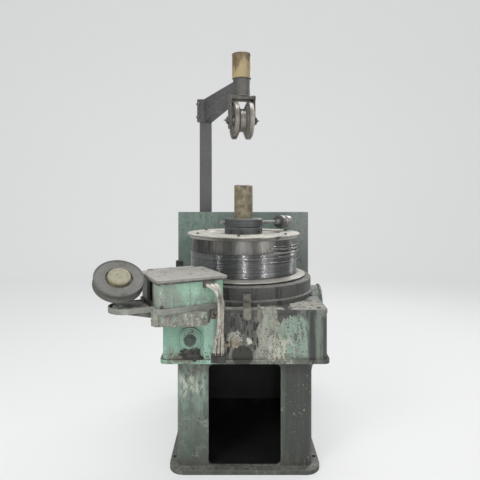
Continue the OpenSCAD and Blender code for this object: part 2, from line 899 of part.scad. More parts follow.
module wheel_axle() {
    nut = 14;
    color(steel) at_wheel() {
        translate([0, 0, boss_back - nut - 6])
            cylinder(d = wheel_axle_d, h = wheel_w / 2 - 10 - boss_back + nut + 6);
        translate([0, 0, boss_front]) cylinder(d = wheel_axle_d + 18, h = collar_t - run_gap);
        translate([0, 0, boss_back - nut]) cylinder(d = wheel_axle_d * 1.6, h = nut, $fn = 6);
    }
}

// Grooved wheel: a flat face with a raised lip and a trench round the cap's seat.
module guide_wheel() {
    bore = wheel_axle_d / 2 + run_gap;
    half = wheel_w / 2;
    rim = wheel_d / 2;
    neck = wheel_neck / 2;
    rim_t = 8;
    floor_w = 8;
    lip = 5;
    face = half - 3;
    seat = half - 9;
    cap_r = cap_d / 2;
    color(grey) at_wheel() rotate_extrude() polygon([
        [bore, -half], [rim - 20, -half], [rim, -half + 4], [rim, -half + rim_t], [neck, -floor_w / 2],
        [neck, floor_w / 2], [rim, half - rim_t], [rim, half - 2], [rim - 2, half], [rim - lip, half],
        [rim - lip - 2, face], [cap_r + 8, face], [cap_r + 6, seat - 2], [cap_r + 1, seat - 2],
        [cap_r, seat], [bore, seat]
    ]);
}

module wheel_cap() {
    half = wheel_w / 2;
    cap_r = cap_d / 2;
    top = half + cap_up;
    color(khaki) at_wheel() rotate_extrude()
        polygon([[0, half - 9], [cap_r, half - 9], [cap_r, top - 4], [cap_r - 4, top], [0, top]]);
}

// Where each hose leaves its nipple, and where it enters the manifold.
function to_world(p) = [
    cos(die_turn) * (p[0] - die_reach) - sin(die_turn) * (p[1] - wire_r),
    sin(die_turn) * (p[0] - die_reach) + cos(die_turn) * (p[1] - wire_r),
    p[2]
];
function hose_side(k) = (k - 1) * hose_pitch;
function hose_start(k) = to_world([hose_local_x + hose_side(k), -box_w / 2 - nipple_l, hose_z]);
function hose_end(k) = [hose_x + hose_side(k), manifold_y, ped_h + lip_h + manifold_h];
function hose_over(k) = to_world([hose_over_x + hose_side(k), -box_w / 2 - hose_drop_out, tray_z]);

// Smooth curve through two end points, with two handles.
function curve(a, b, c, d, t) =
    pow(1 - t, 3) * a + 3 * t * pow(1 - t, 2) * b + 3 * t * t * (1 - t) * c + pow(t, 3) * d;
hose_out = [sin(die_turn), -cos(die_turn), 0];
up = [0, 0, 1];
function hose_path(k) = let (a = hose_start(k), m = hose_over(k), e = hose_end(k)) concat(
    [for (i = [0 : hose_steps]) curve(a, a + 40 * hose_out, m + 84 * up, m, i / hose_steps)],
    [for (i = [1 : hose_steps]) curve(m, m - 100 * up, e + 90 * up, e, i / hose_steps)]
);
function unit(v) = v / norm(v);
function heading(path, i) = i == 0 ? hose_out : i == len(path) - 1 ? -up : unit(path[i + 1] - path[i - 1]);

// A round hose swept along a path, as rings of points.
module sweep_hose(path, d) {
    n = len(path);
    side = [cos(die_turn), sin(die_turn), 0];
    points = [for (i = [0 : n - 1]) let (
        t = heading(path, i), u = unit(side - (side * t) * t), v = cross(t, u)
    ) for (j = [0 : hose_sides - 1]) let (a = j * 360 / hose_sides)
        path[i] + d / 2 * (cos(a) * u + sin(a) * v)];
    walls = [for (i = [0 : n - 2], j = [0 : hose_sides - 1]) let (q = (j + 1) % hose_sides)
        [i * hose_sides + j, (i + 1) * hose_sides + j, (i + 1) * hose_sides + q, i * hose_sides + q]];
    ends = [
        [for (j = [0 : hose_sides - 1]) j],
        [for (j = [hose_sides - 1 : -1 : 0]) (n - 1) * hose_sides + j]
    ];
    polyhedron(points = points, faces = concat(walls, ends));
}

module hoses() {
    color(grey) for (k = [0 : 2]) sweep_hose(hose_path(k), hose_d);
}

module hose_fittings() {
    plate_t = 6;
    color(steel) at_die() translate([hose_local_x, -box_w / 2, hose_z]) rotate([90, 0, 0]) {
        translate([-27, -14, 0]) cube([54, 28, plate_t]);
        for (k = [0 : 2]) translate([hose_side(k), 0, 0]) cylinder(d = hose_d + 3, h = nipple_l);
    }
}

module hose_manifold() {
    w = 3 * hose_pitch + 8;
    deep = 48;
    color(grease) translate([hose_x - w / 2, front_y + cover_out - deep, ped_h + lip_h])
        cube([w, deep, manifold_h]);
}

// Foot-mounted motor, with cooling fins, end bells, terminal box, feet and shaft.
module motor() {
    x0 = 0;
    fins = 9;
    fin_step = 9;
    fin_up = 10;
    core = motor_d - 2 * fin_up;
    foot_z = base_t + rail_h;
    color(green) translate([x0, motor_y, motor_z]) {
        rotate([0, 90, 0]) {
            cylinder(d = core, h = motor_l);
            for (side = [90, 270], i = [0 : fins - 1])
                rotate([0, 0, side + (i - (fins - 1) / 2) * fin_step])
                    translate([core / 2 - 4, -2, 10]) cube([fin_up + 2, 4, motor_l - 20]);
            cylinder(d = motor_d, h = 20);
            translate([0, 0, motor_l - 20]) cylinder(d = motor_d, h = 20);
            translate([0, 0, -40]) cylinder(d = motor_d - 12, h = 50);
            translate([0, 0, motor_l - past]) cylinder(d = 44, h = belt_x - x0 - motor_l + past);
        }
        translate([motor_l * 0.3, -60, motor_d / 2 - 14]) cube([110, 120, 60]);
        for (x = feet_x) translate([x - x0 - 22, -motor_d * 0.42, foot_z - motor_z])
            cube([44, motor_d * 0.84, motor_z - foot_z - core / 2 + 20]);
    }
}

// Closed guard round the belt, from the motor's shaft up to the gear shaft.
module belt_guard() {
    dy = motor_y - input_y;
    dz = motor_z - input_z;
    l = norm([dy, dz]);
    a = acos((belt_r1 - belt_r2) / l);
    rim = 10;
    color(green) translate([belt_x, input_y, input_z]) rotate([90, 0, 90]) rotate([0, 0, atan2(dz, dy)]) {
        linear_extrude(height = belt_t) belt_outline(l, a, 0);
        translate([0, 0, belt_t - rim]) linear_extrude(height = rim) belt_outline(l, a, 8);
    }
}

// Two circles and the strip between them, a little inside their tangents.
module belt_outline(l, a, extra) {
    inset = 0.5;
    r1 = belt_r1 + extra;
    r2 = belt_r2 + extra;
    near = r1 - inset;
    far = r2 - inset;
    circle(r = r1);
    translate([l, 0]) circle(r = r2);
    polygon([near * [cos(a), sin(a)], [l, 0] + far * [cos(a), sin(a)],
        [l, 0] + far * [cos(a), -sin(a)], near * [cos(a), -sin(a)]]);
}

module spindle() {
    low = hous_top - spindle_in + run_gap;
    color(steel) translate([0, 0, low]) cylinder(d = spindle_d, h = drum_z - low);
}

// Lower flange whose top slopes down to a thin edge.
module drum_foot_ring() {
    color(pale) translate([0, 0, drum_z]) rotate_extrude() polygon([
        [drum_r - foot_ring_in, 0], [foot_ring_d / 2, 0], [foot_ring_d / 2, foot_ring_edge],
        [drum_r + 2 * wire_d, foot_ring_t], [drum_r - foot_ring_in, foot_ring_t]
    ]);
}

module drum_shell() {
    wrap_h = wire_turns * (wire_d - 0.4) + 10;
    color(steel) translate([0, 0, drum_z]) rotate_extrude() polygon([
        [0, 0], [drum_r - foot_ring_in, 0], [drum_r - foot_ring_in, foot_ring_t], [drum_r, foot_ring_t],
        [drum_r, foot_ring_t + wrap_h], [drum_r - drum_taper, foot_ring_t + drum_h],
        [0, foot_ring_t + drum_h]
    ]);
}

// Turns of drawn wire lying on the lower part of the drum.
module wire_wraps() {
    pitch = wire_d - 0.4;
    color(grey) translate([0, 0, wrap_z]) rotate_extrude() {
        translate([drum_r, 0]) square([wire_d / 2, wire_turns * pitch]);
        for (i = [0 : wire_turns - 1])
            translate([drum_r + wire_d / 2, (i + 0.5) * pitch + 0.3]) circle(d = wire_d, $fn = 24);
    }
}

// Flange with a round rim, a bead under it and a sunk middle.
module drum_flange() {
    rim_r = flange_t / 2;
    rim_x = flange_d / 2 - rim_r;
    top = bead_h + flange_t;
    inner = flange_in_d / 2;
    color(steel) translate([0, 0, flange_z]) rotate_extrude() {
        polygon([
            [0, 0], [rim_x - 8, 0], [rim_x - 2, bead_h], [rim_x, bead_h], [rim_x, top], [inner, top],
            [inner - 4, top - flange_in_t], [0, top - flange_in_t]
        ]);
        translate([rim_x, bead_h + rim_r]) circle(r = rim_r);
    }
}

module hub_disc() {
    edge = 5;
    r = hub_d / 2;
    color(grease) translate([0, 0, hub_z]) rotate_extrude()
        polygon([[0, 0], [r, 0], [r, hub_h - edge], [r - edge, hub_h], [0, hub_h]]);
}

// Stub that ends as a pipe with a notch in its front.
module spindle_stub() {
    edge = 5;
    r = stub_d / 2;
    h = stub_top - hub_top;
    notch_w = 30;
    color(khaki) translate([0, 0, hub_top]) difference() {
        rotate_extrude() polygon([[0, 0], [r, 0], [r, h - edge], [r - edge, h], [0, h]]);
        translate([0, 0, h - stub_d / 2]) cylinder(r = r - stub_wall, h = stub_d);
        translate([-notch_w / 2, -stub_d, h - notch_w / 2]) cube([notch_w, stub_d, notch_w]);
    }
}

module flyer_ring() {
    edge = 5;
    r = hub_d / 2;
    seat = stub_d / 2 + 22;
    color(grease) difference() {
        translate([0, 0, ring_z]) rotate_extrude() polygon([
            [stub_d / 2 + run_gap, 0], [r - edge, 0], [r, edge], [r, ring_h - edge],
            [r - edge, ring_h], [stub_d / 2 + run_gap, ring_h]
        ]);
        at_rod() translate([0, 0, seat]) cylinder(d = rod_d + 2 * run_gap, h = r);
        rotate([0, 0, 180]) at_rod() translate([0, 0, seat]) cylinder(d = clamp_d + 2 * run_gap, h = r);
    }
}

module clamp_screw() {
    seat = stub_d / 2 + 22;
    out = hub_d / 2 + 12;
    color(grease) rotate([0, 0, 180]) at_rod() {
        translate([0, 0, seat]) cylinder(d = clamp_d, h = out - seat);
        translate([-clamp_d * 0.7, -clamp_d * 0.7, out]) cube([clamp_d * 1.4, clamp_d * 1.4, 14]);
    }
}

// Places along the roller's pin: a collar, the roller and a nut, with running gaps between.
knuckle_r = rod_d / 2 + 4;
roller_collar = 8;
roller_in = knuckle_r + roller_collar + run_gap;
roller_out = roller_in + roller_l;

// Rod with a round knuckle at its end, which holds the roller's pin.
module flyer_rod() {
    seat = stub_d / 2 + 22;
    nut = 10;
    color(steel) {
        at_rod() {
            translate([0, 0, seat]) cylinder(d = rod_d, h = rod_reach - seat);
            translate([0, 0, rod_reach]) rotate([0, 90, 0])
                cylinder(r = knuckle_r, h = rod_d + 4, center = true);
        }
        at_roller() {
            cylinder(d = roller_pin_d, h = roller_out + nut + 4);
            translate([0, 0, knuckle_r - 4]) cylinder(d = roller_pin_d + 12, h = roller_collar + 4);
            translate([0, 0, roller_out + run_gap]) cylinder(d = roller_pin_d * 1.5, h = nut, $fn = 6);
        }
    }
}

// Roller with a flange next to the rod, a groove and a narrower far end.
module roller() {
    bore = roller_pin_d / 2 + run_gap;
    r = roller_d / 2;
    neck = roller_neck / 2;
    end_r = roller_end_d / 2;
    flange = roller_l * 0.24;
    groove = roller_l * 0.26;
    edge = 3;
    round = 8;
    color(grease) at_roller() translate([0, 0, roller_in]) rotate_extrude() polygon([
        [bore, 0], [r - edge, 0], [r, edge], [r, flange], [neck, flange + edge * 2],
        [neck, flange + groove - edge * 2], [end_r + edge, flange + groove],
        [end_r + edge, flange + groove + round], [end_r, flange + groove + round + edge],
        [end_r, roller_l - round], [end_r - edge, roller_l - edge], [end_r - round, roller_l],
        [bore, roller_l]
    ]);
}

pedestal();
gear_housing();
table_ring();
front_boss();
lower_port();
wide_strap();
narrow_strap();
rear_guard();
guard_bracket();
rear_base();
post();
overhead_arm();
hanger_sleeve();
hanger_pipe();
yoke();
sheave_axle();
sheave();
die_bracket();
bracket_block();
box_tray();
tray_gusset();
die_box();
die_holder();
hinge_pin();
lid();
wheel_arm();
wheel_axle();
guide_wheel();
wheel_cap();
hose_fittings();
hoses();
hose_manifold();
motor();
belt_guard();
spindle();
drum_foot_ring();
drum_shell();
wire_wraps();
drum_flange();
hub_disc();
spindle_stub();
flyer_ring();
clamp_screw();
flyer_rod();
roller();
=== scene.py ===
# %% [markdown]
# Wire drawing machine. One upright drum pulls wire through a die and winds it up. The packed
# model brings every rigid piece at its real size. This lesson gives those pieces their worn
# paint, oily iron and polished steel, and adds what is too fine for the solids: the coil of
# wire, bolts, welds, grease and drawing powder.

# %% Load the frame
import math
import random

import bmesh
import bpy
from mathutils import Matrix, Vector, noise


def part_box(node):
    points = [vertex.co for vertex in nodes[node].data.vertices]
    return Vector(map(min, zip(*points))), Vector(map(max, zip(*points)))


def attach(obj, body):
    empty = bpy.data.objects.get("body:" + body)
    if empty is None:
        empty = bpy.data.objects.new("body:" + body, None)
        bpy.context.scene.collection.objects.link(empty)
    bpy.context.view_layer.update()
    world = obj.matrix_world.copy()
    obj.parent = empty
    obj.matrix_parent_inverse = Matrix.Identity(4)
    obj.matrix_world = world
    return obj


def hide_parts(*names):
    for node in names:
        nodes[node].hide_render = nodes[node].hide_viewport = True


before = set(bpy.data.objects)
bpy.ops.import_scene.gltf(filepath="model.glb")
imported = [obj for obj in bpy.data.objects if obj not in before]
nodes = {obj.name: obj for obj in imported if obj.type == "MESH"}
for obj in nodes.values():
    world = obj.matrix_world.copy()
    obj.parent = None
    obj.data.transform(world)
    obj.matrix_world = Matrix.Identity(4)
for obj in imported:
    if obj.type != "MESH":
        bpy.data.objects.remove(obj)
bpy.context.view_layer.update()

scene = bpy.context.scene
MM = 0.001
random.seed(4)

# %% [markdown]
# The photograph was taken at about eye height, level, a little left of the drum. A level
# camera keeps posts upright, and a small lens shift puts the horizon where it belongs, as an
# architect's camera does. Tilting the camera instead would make the posts lean.

# %% Camera
PHOTO_SIZE = 480
HORIZON_PX = 195.8
VANISHING_PX = 236.1
CAMERA_PLACE = Vector((-0.040, -2.447, 1.273))
FOCAL_PX = 450.0
SENSOR_MM = 36.0

camera_data = bpy.data.cameras.new("photo_camera")
camera_data.sensor_width = SENSOR_MM
camera_data.lens = FOCAL_PX / PHOTO_SIZE * SENSOR_MM
camera_data.shift_x = (PHOTO_SIZE / 2 - VANISHING_PX) / PHOTO_SIZE
camera_data.shift_y = (HORIZON_PX - PHOTO_SIZE / 2) / PHOTO_SIZE
camera = bpy.data.objects.new("photo_camera", camera_data)
camera.location = CAMERA_PLACE
camera.rotation_euler = (math.radians(90), 0, 0)
scene.collection.objects.link(camera)
scene.camera = camera
print("lens in mm:", round(camera_data.lens, 2))

# %% [markdown]
# The studio is a pale floor that curves up into a backdrop, so no corner shows behind the
# machine. One edge is extruded for the floor, spun for the curve and extruded for the wall.

# %% Floor and backdrop
FLOOR_REACH = 7.0
WALL_AT = 5.6
SWEEP_RADIUS = 1.2
WALL_TOP = 6.0
SWEEP_STEPS = 16


def finished_mesh(name, bm, smooth_angle=40):
    """Turns a bmesh into an object at the origin, smooth where its faces meet gently."""
    mesh = bpy.data.meshes.new(name)
    bm.to_mesh(mesh)
    bm.free()
    mesh.shade_smooth()
    mesh.set_sharp_from_angle(angle=math.radians(smooth_angle))
    piece = bpy.data.objects.new(name, mesh)
    scene.collection.objects.link(piece)
    return piece


bm = bmesh.new()
start = [bm.verts.new((x, -FLOOR_REACH, 0)) for x in (-FLOOR_REACH, FLOOR_REACH)]
edge = bm.edges.new(start)
out = bmesh.ops.extrude_edge_only(bm, edges=[edge])["geom"]
moved = [v for v in out if isinstance(v, bmesh.types.BMVert)]
bmesh.ops.translate(bm, verts=moved, vec=(0, FLOOR_REACH + WALL_AT - SWEEP_RADIUS, 0))
edge = [e for e in out if isinstance(e, bmesh.types.BMEdge) and all(v in moved for v in e.verts)]
centre = (0, WALL_AT - SWEEP_RADIUS, SWEEP_RADIUS)
out = bmesh.ops.spin(bm, geom=edge, cent=centre, axis=(1, 0, 0), angle=math.radians(90), steps=SWEEP_STEPS)
edge = [e for e in out["geom_last"] if isinstance(e, bmesh.types.BMEdge)]
out = bmesh.ops.extrude_edge_only(bm, edges=edge)["geom"]
moved = [v for v in out if isinstance(v, bmesh.types.BMVert)]
bmesh.ops.translate(bm, verts=moved, vec=(0, 0, WALL_TOP - SWEEP_RADIUS))
bmesh.ops.recalc_face_normals(bm, faces=bm.faces)
backdrop = finished_mesh("studio_backdrop", bm)

# %% [markdown]
# The backdrop has to look white without lighting the machine more. So it glows, but only in
# rays that come from the camera, and for every other ray it is plain pale paint.

# %% Studio white
GLOW_SHARE = 0.62
studio = bpy.data.materials.new("studio_white")
studio.use_nodes = True
studio_shader = studio.node_tree.nodes["Principled BSDF"]
studio_shader.inputs["Base Color"].default_value = (0.78, 0.78, 0.77, 1)
studio_shader.inputs["Roughness"].default_value = 0.95
seen = studio.node_tree.nodes.new("ShaderNodeLightPath").outputs["Is Camera Ray"]
share = studio.node_tree.nodes.new("ShaderNodeMath")
share.operation = "MULTIPLY"
share.inputs[1].default_value = GLOW_SHARE
glow = studio.node_tree.nodes.new("ShaderNodeEmission")
glow.inputs["Color"].default_value = (0.86, 0.865, 0.87, 1)
either = studio.node_tree.nodes.new("ShaderNodeMixShader")
for source, target in ((seen, share.inputs[0]), (share.outputs[0], either.inputs[0]),
                       (studio_shader.outputs[0], either.inputs[1]), (glow.outputs[0], either.inputs[2]),
                       (either.outputs[0], studio.node_tree.nodes["Material Output"].inputs["Surface"])):
    studio.node_tree.links.new(source, target)
backdrop.data.materials.append(studio)
print("backdrop faces:", len(backdrop.data.polygons))

# %% [markdown]
# Soft lamps: a broad key from the front left and above, a fill from the right, a top light
# over the drum and a rim light from behind. The wound wire needs something narrow to mirror.
# A highlight on a cylinder sits where the surface faces half way between lamp and camera, so
# four upright strips stand at the angles that put bright lines where the photograph has them.
# The broad key lights everything but isn't mirrored, and the strips are only mirrored.

# %% Lamps and world
# Place, point that it looks at, width, height and watts.
LAMPS = {
    "key": ((-2.6, -3.2, 3.0), (0.0, 0.0, 0.9), 1.7, 1.7, 127),
    "fill": ((3.4, -2.4, 2.0), (0.0, 0.0, 0.8), 1.6, 2.2, 26),
    "top": ((0.3, 0.2, 4.2), (0.0, 0.0, 0.8), 2.2, 2.2, 78),
    "rim": ((1.9, 2.6, 3.0), (0.0, 0.0, 1.1), 1.4, 1.4, 52),
    "low_front": ((-0.4, -3.6, 0.7), (0.0, 0.0, 0.5), 2.4, 0.9, 10),
    "strip_left": ((-2.62, -1.93, 1.90), (0.0, 0.0, 1.0), 0.07, 1.6, 10),
    "strip_middle": ((0.054, -3.20, 1.90), (0.0, 0.0, 1.0), 0.09, 1.6, 26),
    "strip_right": ((2.19, -2.42, 1.90), (0.0, 0.0, 1.0), 0.10, 1.6, 25),
    "strip_back": ((2.66, 1.63, 1.60), (0.0, 0.0, 1.0), 0.08, 1.6, 7),
}
for lamp_name, (place, target, width, height, watts) in LAMPS.items():
    light = bpy.data.lights.new(lamp_name, "AREA")
    light.shape = "RECTANGLE"
    light.size = width
    light.size_y = height
    light.energy = watts
    lamp = bpy.data.objects.new(lamp_name, light)
    lamp.location = place
    lamp.visible_glossy = lamp_name != "key"
    lamp.visible_diffuse = not lamp_name.startswith("strip")
    lamp.rotation_euler = (Vector(target) - Vector(place)).to_track_quat("-Z", "Y").to_euler()
    scene.collection.objects.link(lamp)

AIR_STRENGTH = 0.38
world = bpy.data.worlds.new("studio_air")
scene.world = world
world.use_nodes = True
air = world.node_tree.nodes["Background"]
air.inputs["Color"].default_value = (0.86, 0.88, 0.90, 1)
air.inputs["Strength"].default_value = AIR_STRENGTH
scene.view_settings.view_transform = "Standard"
print("lamps:", len(LAMPS))

# %% [markdown]
# Materials are wired by code, so a small helper keeps them readable. Every pattern reads
# Object coordinates: the pieces sit at the origin, so one metre of pattern is one metre of
# machine, and the wear stays in place when a body turns.

# %% A helper for finishes
class Wiring:
    """A material under construction: each method adds one node and returns its output."""

    def __init__(self, name, roughness=0.5, metallic=0.0):
        self.material = bpy.data.materials.new(name)
        self.material.use_nodes = True
        self.tree = self.material.node_tree
        self.shader = self.tree.nodes["Principled BSDF"]
        self.shader.inputs["Roughness"].default_value = roughness
        self.shader.inputs["Metallic"].default_value = metallic
        place = self.tree.nodes.new("ShaderNodeTexCoord")
        self.place = place.outputs["Object"]
        self.normal = place.outputs["Normal"]
        self.rounded = None

    def add(self, kind, result=0, values=(), **settings):
        """Adds a node. Values are numbers, colours or other outputs, by socket name or number."""
        node = self.tree.nodes.new(kind)
        for key, value in settings.items():
            setattr(node, key, value)
        for key, value in dict(values).items():
            if isinstance(value, bpy.types.NodeSocket):
                self.tree.links.new(value, node.inputs[key])
            else:
                node.inputs[key].default_value = value
        return node.outputs[result]

    def calc(self, operation, a, b=0.0, clamp=False):
        """One sum on two numbers or patterns."""
        return self.add("ShaderNodeMath", 0, {0: a, 1: b}, operation=operation, use_clamp=clamp)

    def moved(self, scale=(1, 1, 1), shift=(0, 0, 0)):
        """The place on the machine, stretched and shifted."""
        return self.add("ShaderNodeMapping", 0, {"Vector": self.place, "Scale": scale, "Location": shift})

    def cloud(self, scale, detail=5.0, rough=0.6, stretch=(1, 1, 1), shift=(0, 0, 0), warp=0.0):
        """Soft random pattern, from 0 to 1, with patches about 1/scale metres wide."""
        where = self.moved(stretch, shift)
        return self.add("ShaderNodeTexNoise", 0, {
            "Vector": where, "Scale": scale, "Detail": detail, "Roughness": rough, "Distortion": warp})

    def pits(self, scale, shift=(0, 0, 0)):
        """Distance to the nearest of many scattered points."""
        return self.add("ShaderNodeTexVoronoi", 0, {"Vector": self.moved((1, 1, 1), shift), "Scale": scale})

    def band(self, value, low, high, out_low=0.0, out_high=1.0):
        """A smooth step from out_low to out_high as value goes from low to high."""
        return self.add("ShaderNodeMapRange", 0, {
            "Value": value, "From Min": low, "From Max": high, "To Min": out_low, "To Max": out_high,
        }, interpolation_type="SMOOTHSTEP")

    def mix(self, mask, a, b):
        """Colour a where the mask is 0, and b where it is 1."""
        node = self.tree.nodes.new("ShaderNodeMix")
        node.data_type = "RGBA"
        for colour, socket in ((a, node.inputs[6]), (b, node.inputs[7])):
            if isinstance(colour, bpy.types.NodeSocket):
                self.tree.links.new(colour, socket)
            else:
                socket.default_value = (*colour, 1)
        if isinstance(mask, bpy.types.NodeSocket):
            self.tree.links.new(mask, node.inputs[0])
        else:
            node.inputs[0].default_value = mask
        return node.outputs[2]

    def axis(self, letter, source=None):
        """One coordinate of the place, or of another direction."""
        return self.add("ShaderNodeSeparateXYZ", "XYZ".index(letter), {0: source or self.place})

    def facing_up(self, low=0.35, high=0.8):
        """1 where the surface faces up, so that something can lie on it."""
        return self.band(self.axis("Z", self.normal), low, high)

    def finish(self, colour=None, roughness=None, metallic=None):
        """Plugs in what is given and returns the finished material."""
        for socket, value in (("Base Color", colour), ("Roughness", roughness), ("Metallic", metallic)):
            if value is not None:
                self.tree.links.new(value, self.shader.inputs[socket])
        return self.material


# %% [markdown]
# Wear on one machine isn't even: a stain has its own place. These masks are given in metres on
# the machine's front, so they can be read off the photograph, and noise tears their edges.

# %% Masks with a place
class Placed(Wiring):
    """Adds zones, spots and dots that have a place on the front."""

    def zone(self, x_range=None, z_range=None, cover=0.8, seed=0.0, soft=0.010, drip=0.045, even=0.45):
        """Up to 1 in a patch of the front, given in metres, with streaks in it and drips at its edges."""
        drips = self.cloud(30, 4, 0.65, stretch=(1, 1, 0.09), shift=(seed, seed, seed))
        spots = self.cloud(42, 5, 0.75, stretch=(1, 1, 0.45), shift=(seed, 3, seed))
        lines = self.cloud(64, 5, 0.7, stretch=(1, 1, 0.05), shift=(seed, 5, seed))
        limit = 0.66 - 0.32 * cover
        mask = self.band(spots, limit - 0.05, limit + 0.05)
        mask = self.calc("MULTIPLY", mask, self.band(lines, 0.34, 0.56, even, 1.0))
        for letter, limits, sway in (("X", x_range, 0.012), ("Z", z_range, drip)):
            if limits is None:
                continue
            at = self.calc("ADD", self.axis(letter), self.band(drips, 0.3, 0.7, -sway, sway))
            for place, low, high in ((limits[0], 0.0, 1.0), (limits[1], 1.0, 0.0)):
                side = self.band(at, place - soft, place + soft, low, high)
                mask = self.calc("MULTIPLY", mask, side)
        return mask

    def spot(self, x, z, radius, cover=0.9, ragged=0.010, wide=1.0):
        """1 in a patch of the front, round or wide, in metres, with a ragged edge."""
        flat = self.moved((1 / wide, 0, 1), (-x / wide, 0, -z))
        away = self.add("ShaderNodeVectorMath", "Value", {0: flat}, operation="LENGTH")
        rough = self.cloud(55, 5, 0.8, shift=(x, z, 1))
        away = self.calc("ADD", away, self.band(rough, 0.3, 0.7, -ragged, ragged))
        return self.calc("MULTIPLY", self.band(away, radius - 0.004, radius + 0.003, 1.0, 0.0), cover)

    def dots(self, x_range, z_range, seed=0.0):
        """Small round holes in a patch of the front."""
        hole = self.band(self.pits(74, (seed, seed, seed)), 0.24, 0.34, 1.0, 0.0)
        return self.calc("MULTIPLY", hole, self.zone(x_range, z_range, 0.75, seed, 0.012, 0.01, 1.0))


# %% [markdown]
# A lathe leaves rings, and handling wears paint off the edges first. The rings are noise along
# the distance from an axis. The edges are found with a Bevel node: where its rounded direction
# differs from the real one, the surface is close to an edge.

# %% Turned faces and worn edges
class Finish(Placed):
    """Adds rings round an axis, edges and relief."""

    def along(self, centre, axis):
        """Distance along an axis from its centre, in metres."""
        off = self.add("ShaderNodeVectorMath", 0, {0: self.place, 1: centre}, operation="SUBTRACT")
        return self.add("ShaderNodeVectorMath", "Value", {0: off, 1: axis}, operation="DOT_PRODUCT")

    def turned(self, centre, axis, fine=260):
        """Fine rings round an axis, as a lathe leaves them."""
        off = self.add("ShaderNodeVectorMath", 0, {0: self.place, 1: centre}, operation="SUBTRACT")
        along = self.along(centre, axis)
        across = self.add("ShaderNodeVectorMath", 0, {0: off, 1: axis}, operation="CROSS_PRODUCT")
        radius = self.add("ShaderNodeVectorMath", "Value", {0: across}, operation="LENGTH")
        where = self.calc("MULTIPLY", self.calc("ADD", along, radius), fine)
        return self.add("ShaderNodeTexNoise", 0, {"W": where, "Scale": 1.0, "Detail": 6.0, "Roughness": 0.75},
                        noise_dimensions="1D")

    def soft_normal(self):
        """The surface's direction as if each sharp edge were rounded by 3 mm."""
        if self.rounded is None:
            self.rounded = self.add("ShaderNodeBevel", 0, {"Radius": 0.003}, samples=4)
        return self.rounded

    def edges(self, low=0.02, high=0.12):
        """1 along sharp edges, found by comparing the face with its rounded copy."""
        flat = self.add("ShaderNodeNewGeometry", "Normal")
        dot = self.add("ShaderNodeVectorMath", "Value", {0: self.soft_normal(), 1: flat},
                       operation="DOT_PRODUCT")
        return self.band(self.calc("SUBTRACT", 1.0, dot), low, high)

    def bump(self, height, strength=0.3, distance=0.002):
        """Relief from a pattern, on edges that look slightly rounded."""
        relief = self.add("ShaderNodeBump", 0, {
            "Height": height, "Strength": strength, "Distance": distance, "Normal": self.soft_normal()})
        self.tree.links.new(relief, self.shader.inputs["Normal"])


def dress(material, *names):
    """Gives CAD nodes one material in all their slots."""
    for name in names:
        slots = nodes[name].data.materials
        slots.clear()
        slots.append(material)
    print(material.name, "on", ", ".join(names))


# %% [markdown]
# Old machine enamel is several stories at once. Under it lie pale filler and rust, over it
# lie grease, dust and runs of oil. Each layer is a mask made from noise at its own scale,
# and the layers go on in the order in which they reached the real machine.

# %% Colours of paint, metal and dirt
MINT = (0.250, 0.440, 0.335)
MINT_PALE = (0.350, 0.515, 0.420)
MINT_DEEP = (0.120, 0.210, 0.162)
FILLER = (0.460, 0.440, 0.360)
CREAM = (0.420, 0.405, 0.325)
RUST = (0.092, 0.064, 0.047)
GREASE = (0.026, 0.025, 0.023)
GRIME = (0.085, 0.080, 0.070)
POWDER = (0.340, 0.332, 0.300)
BARE_IRON = (0.120, 0.118, 0.115)


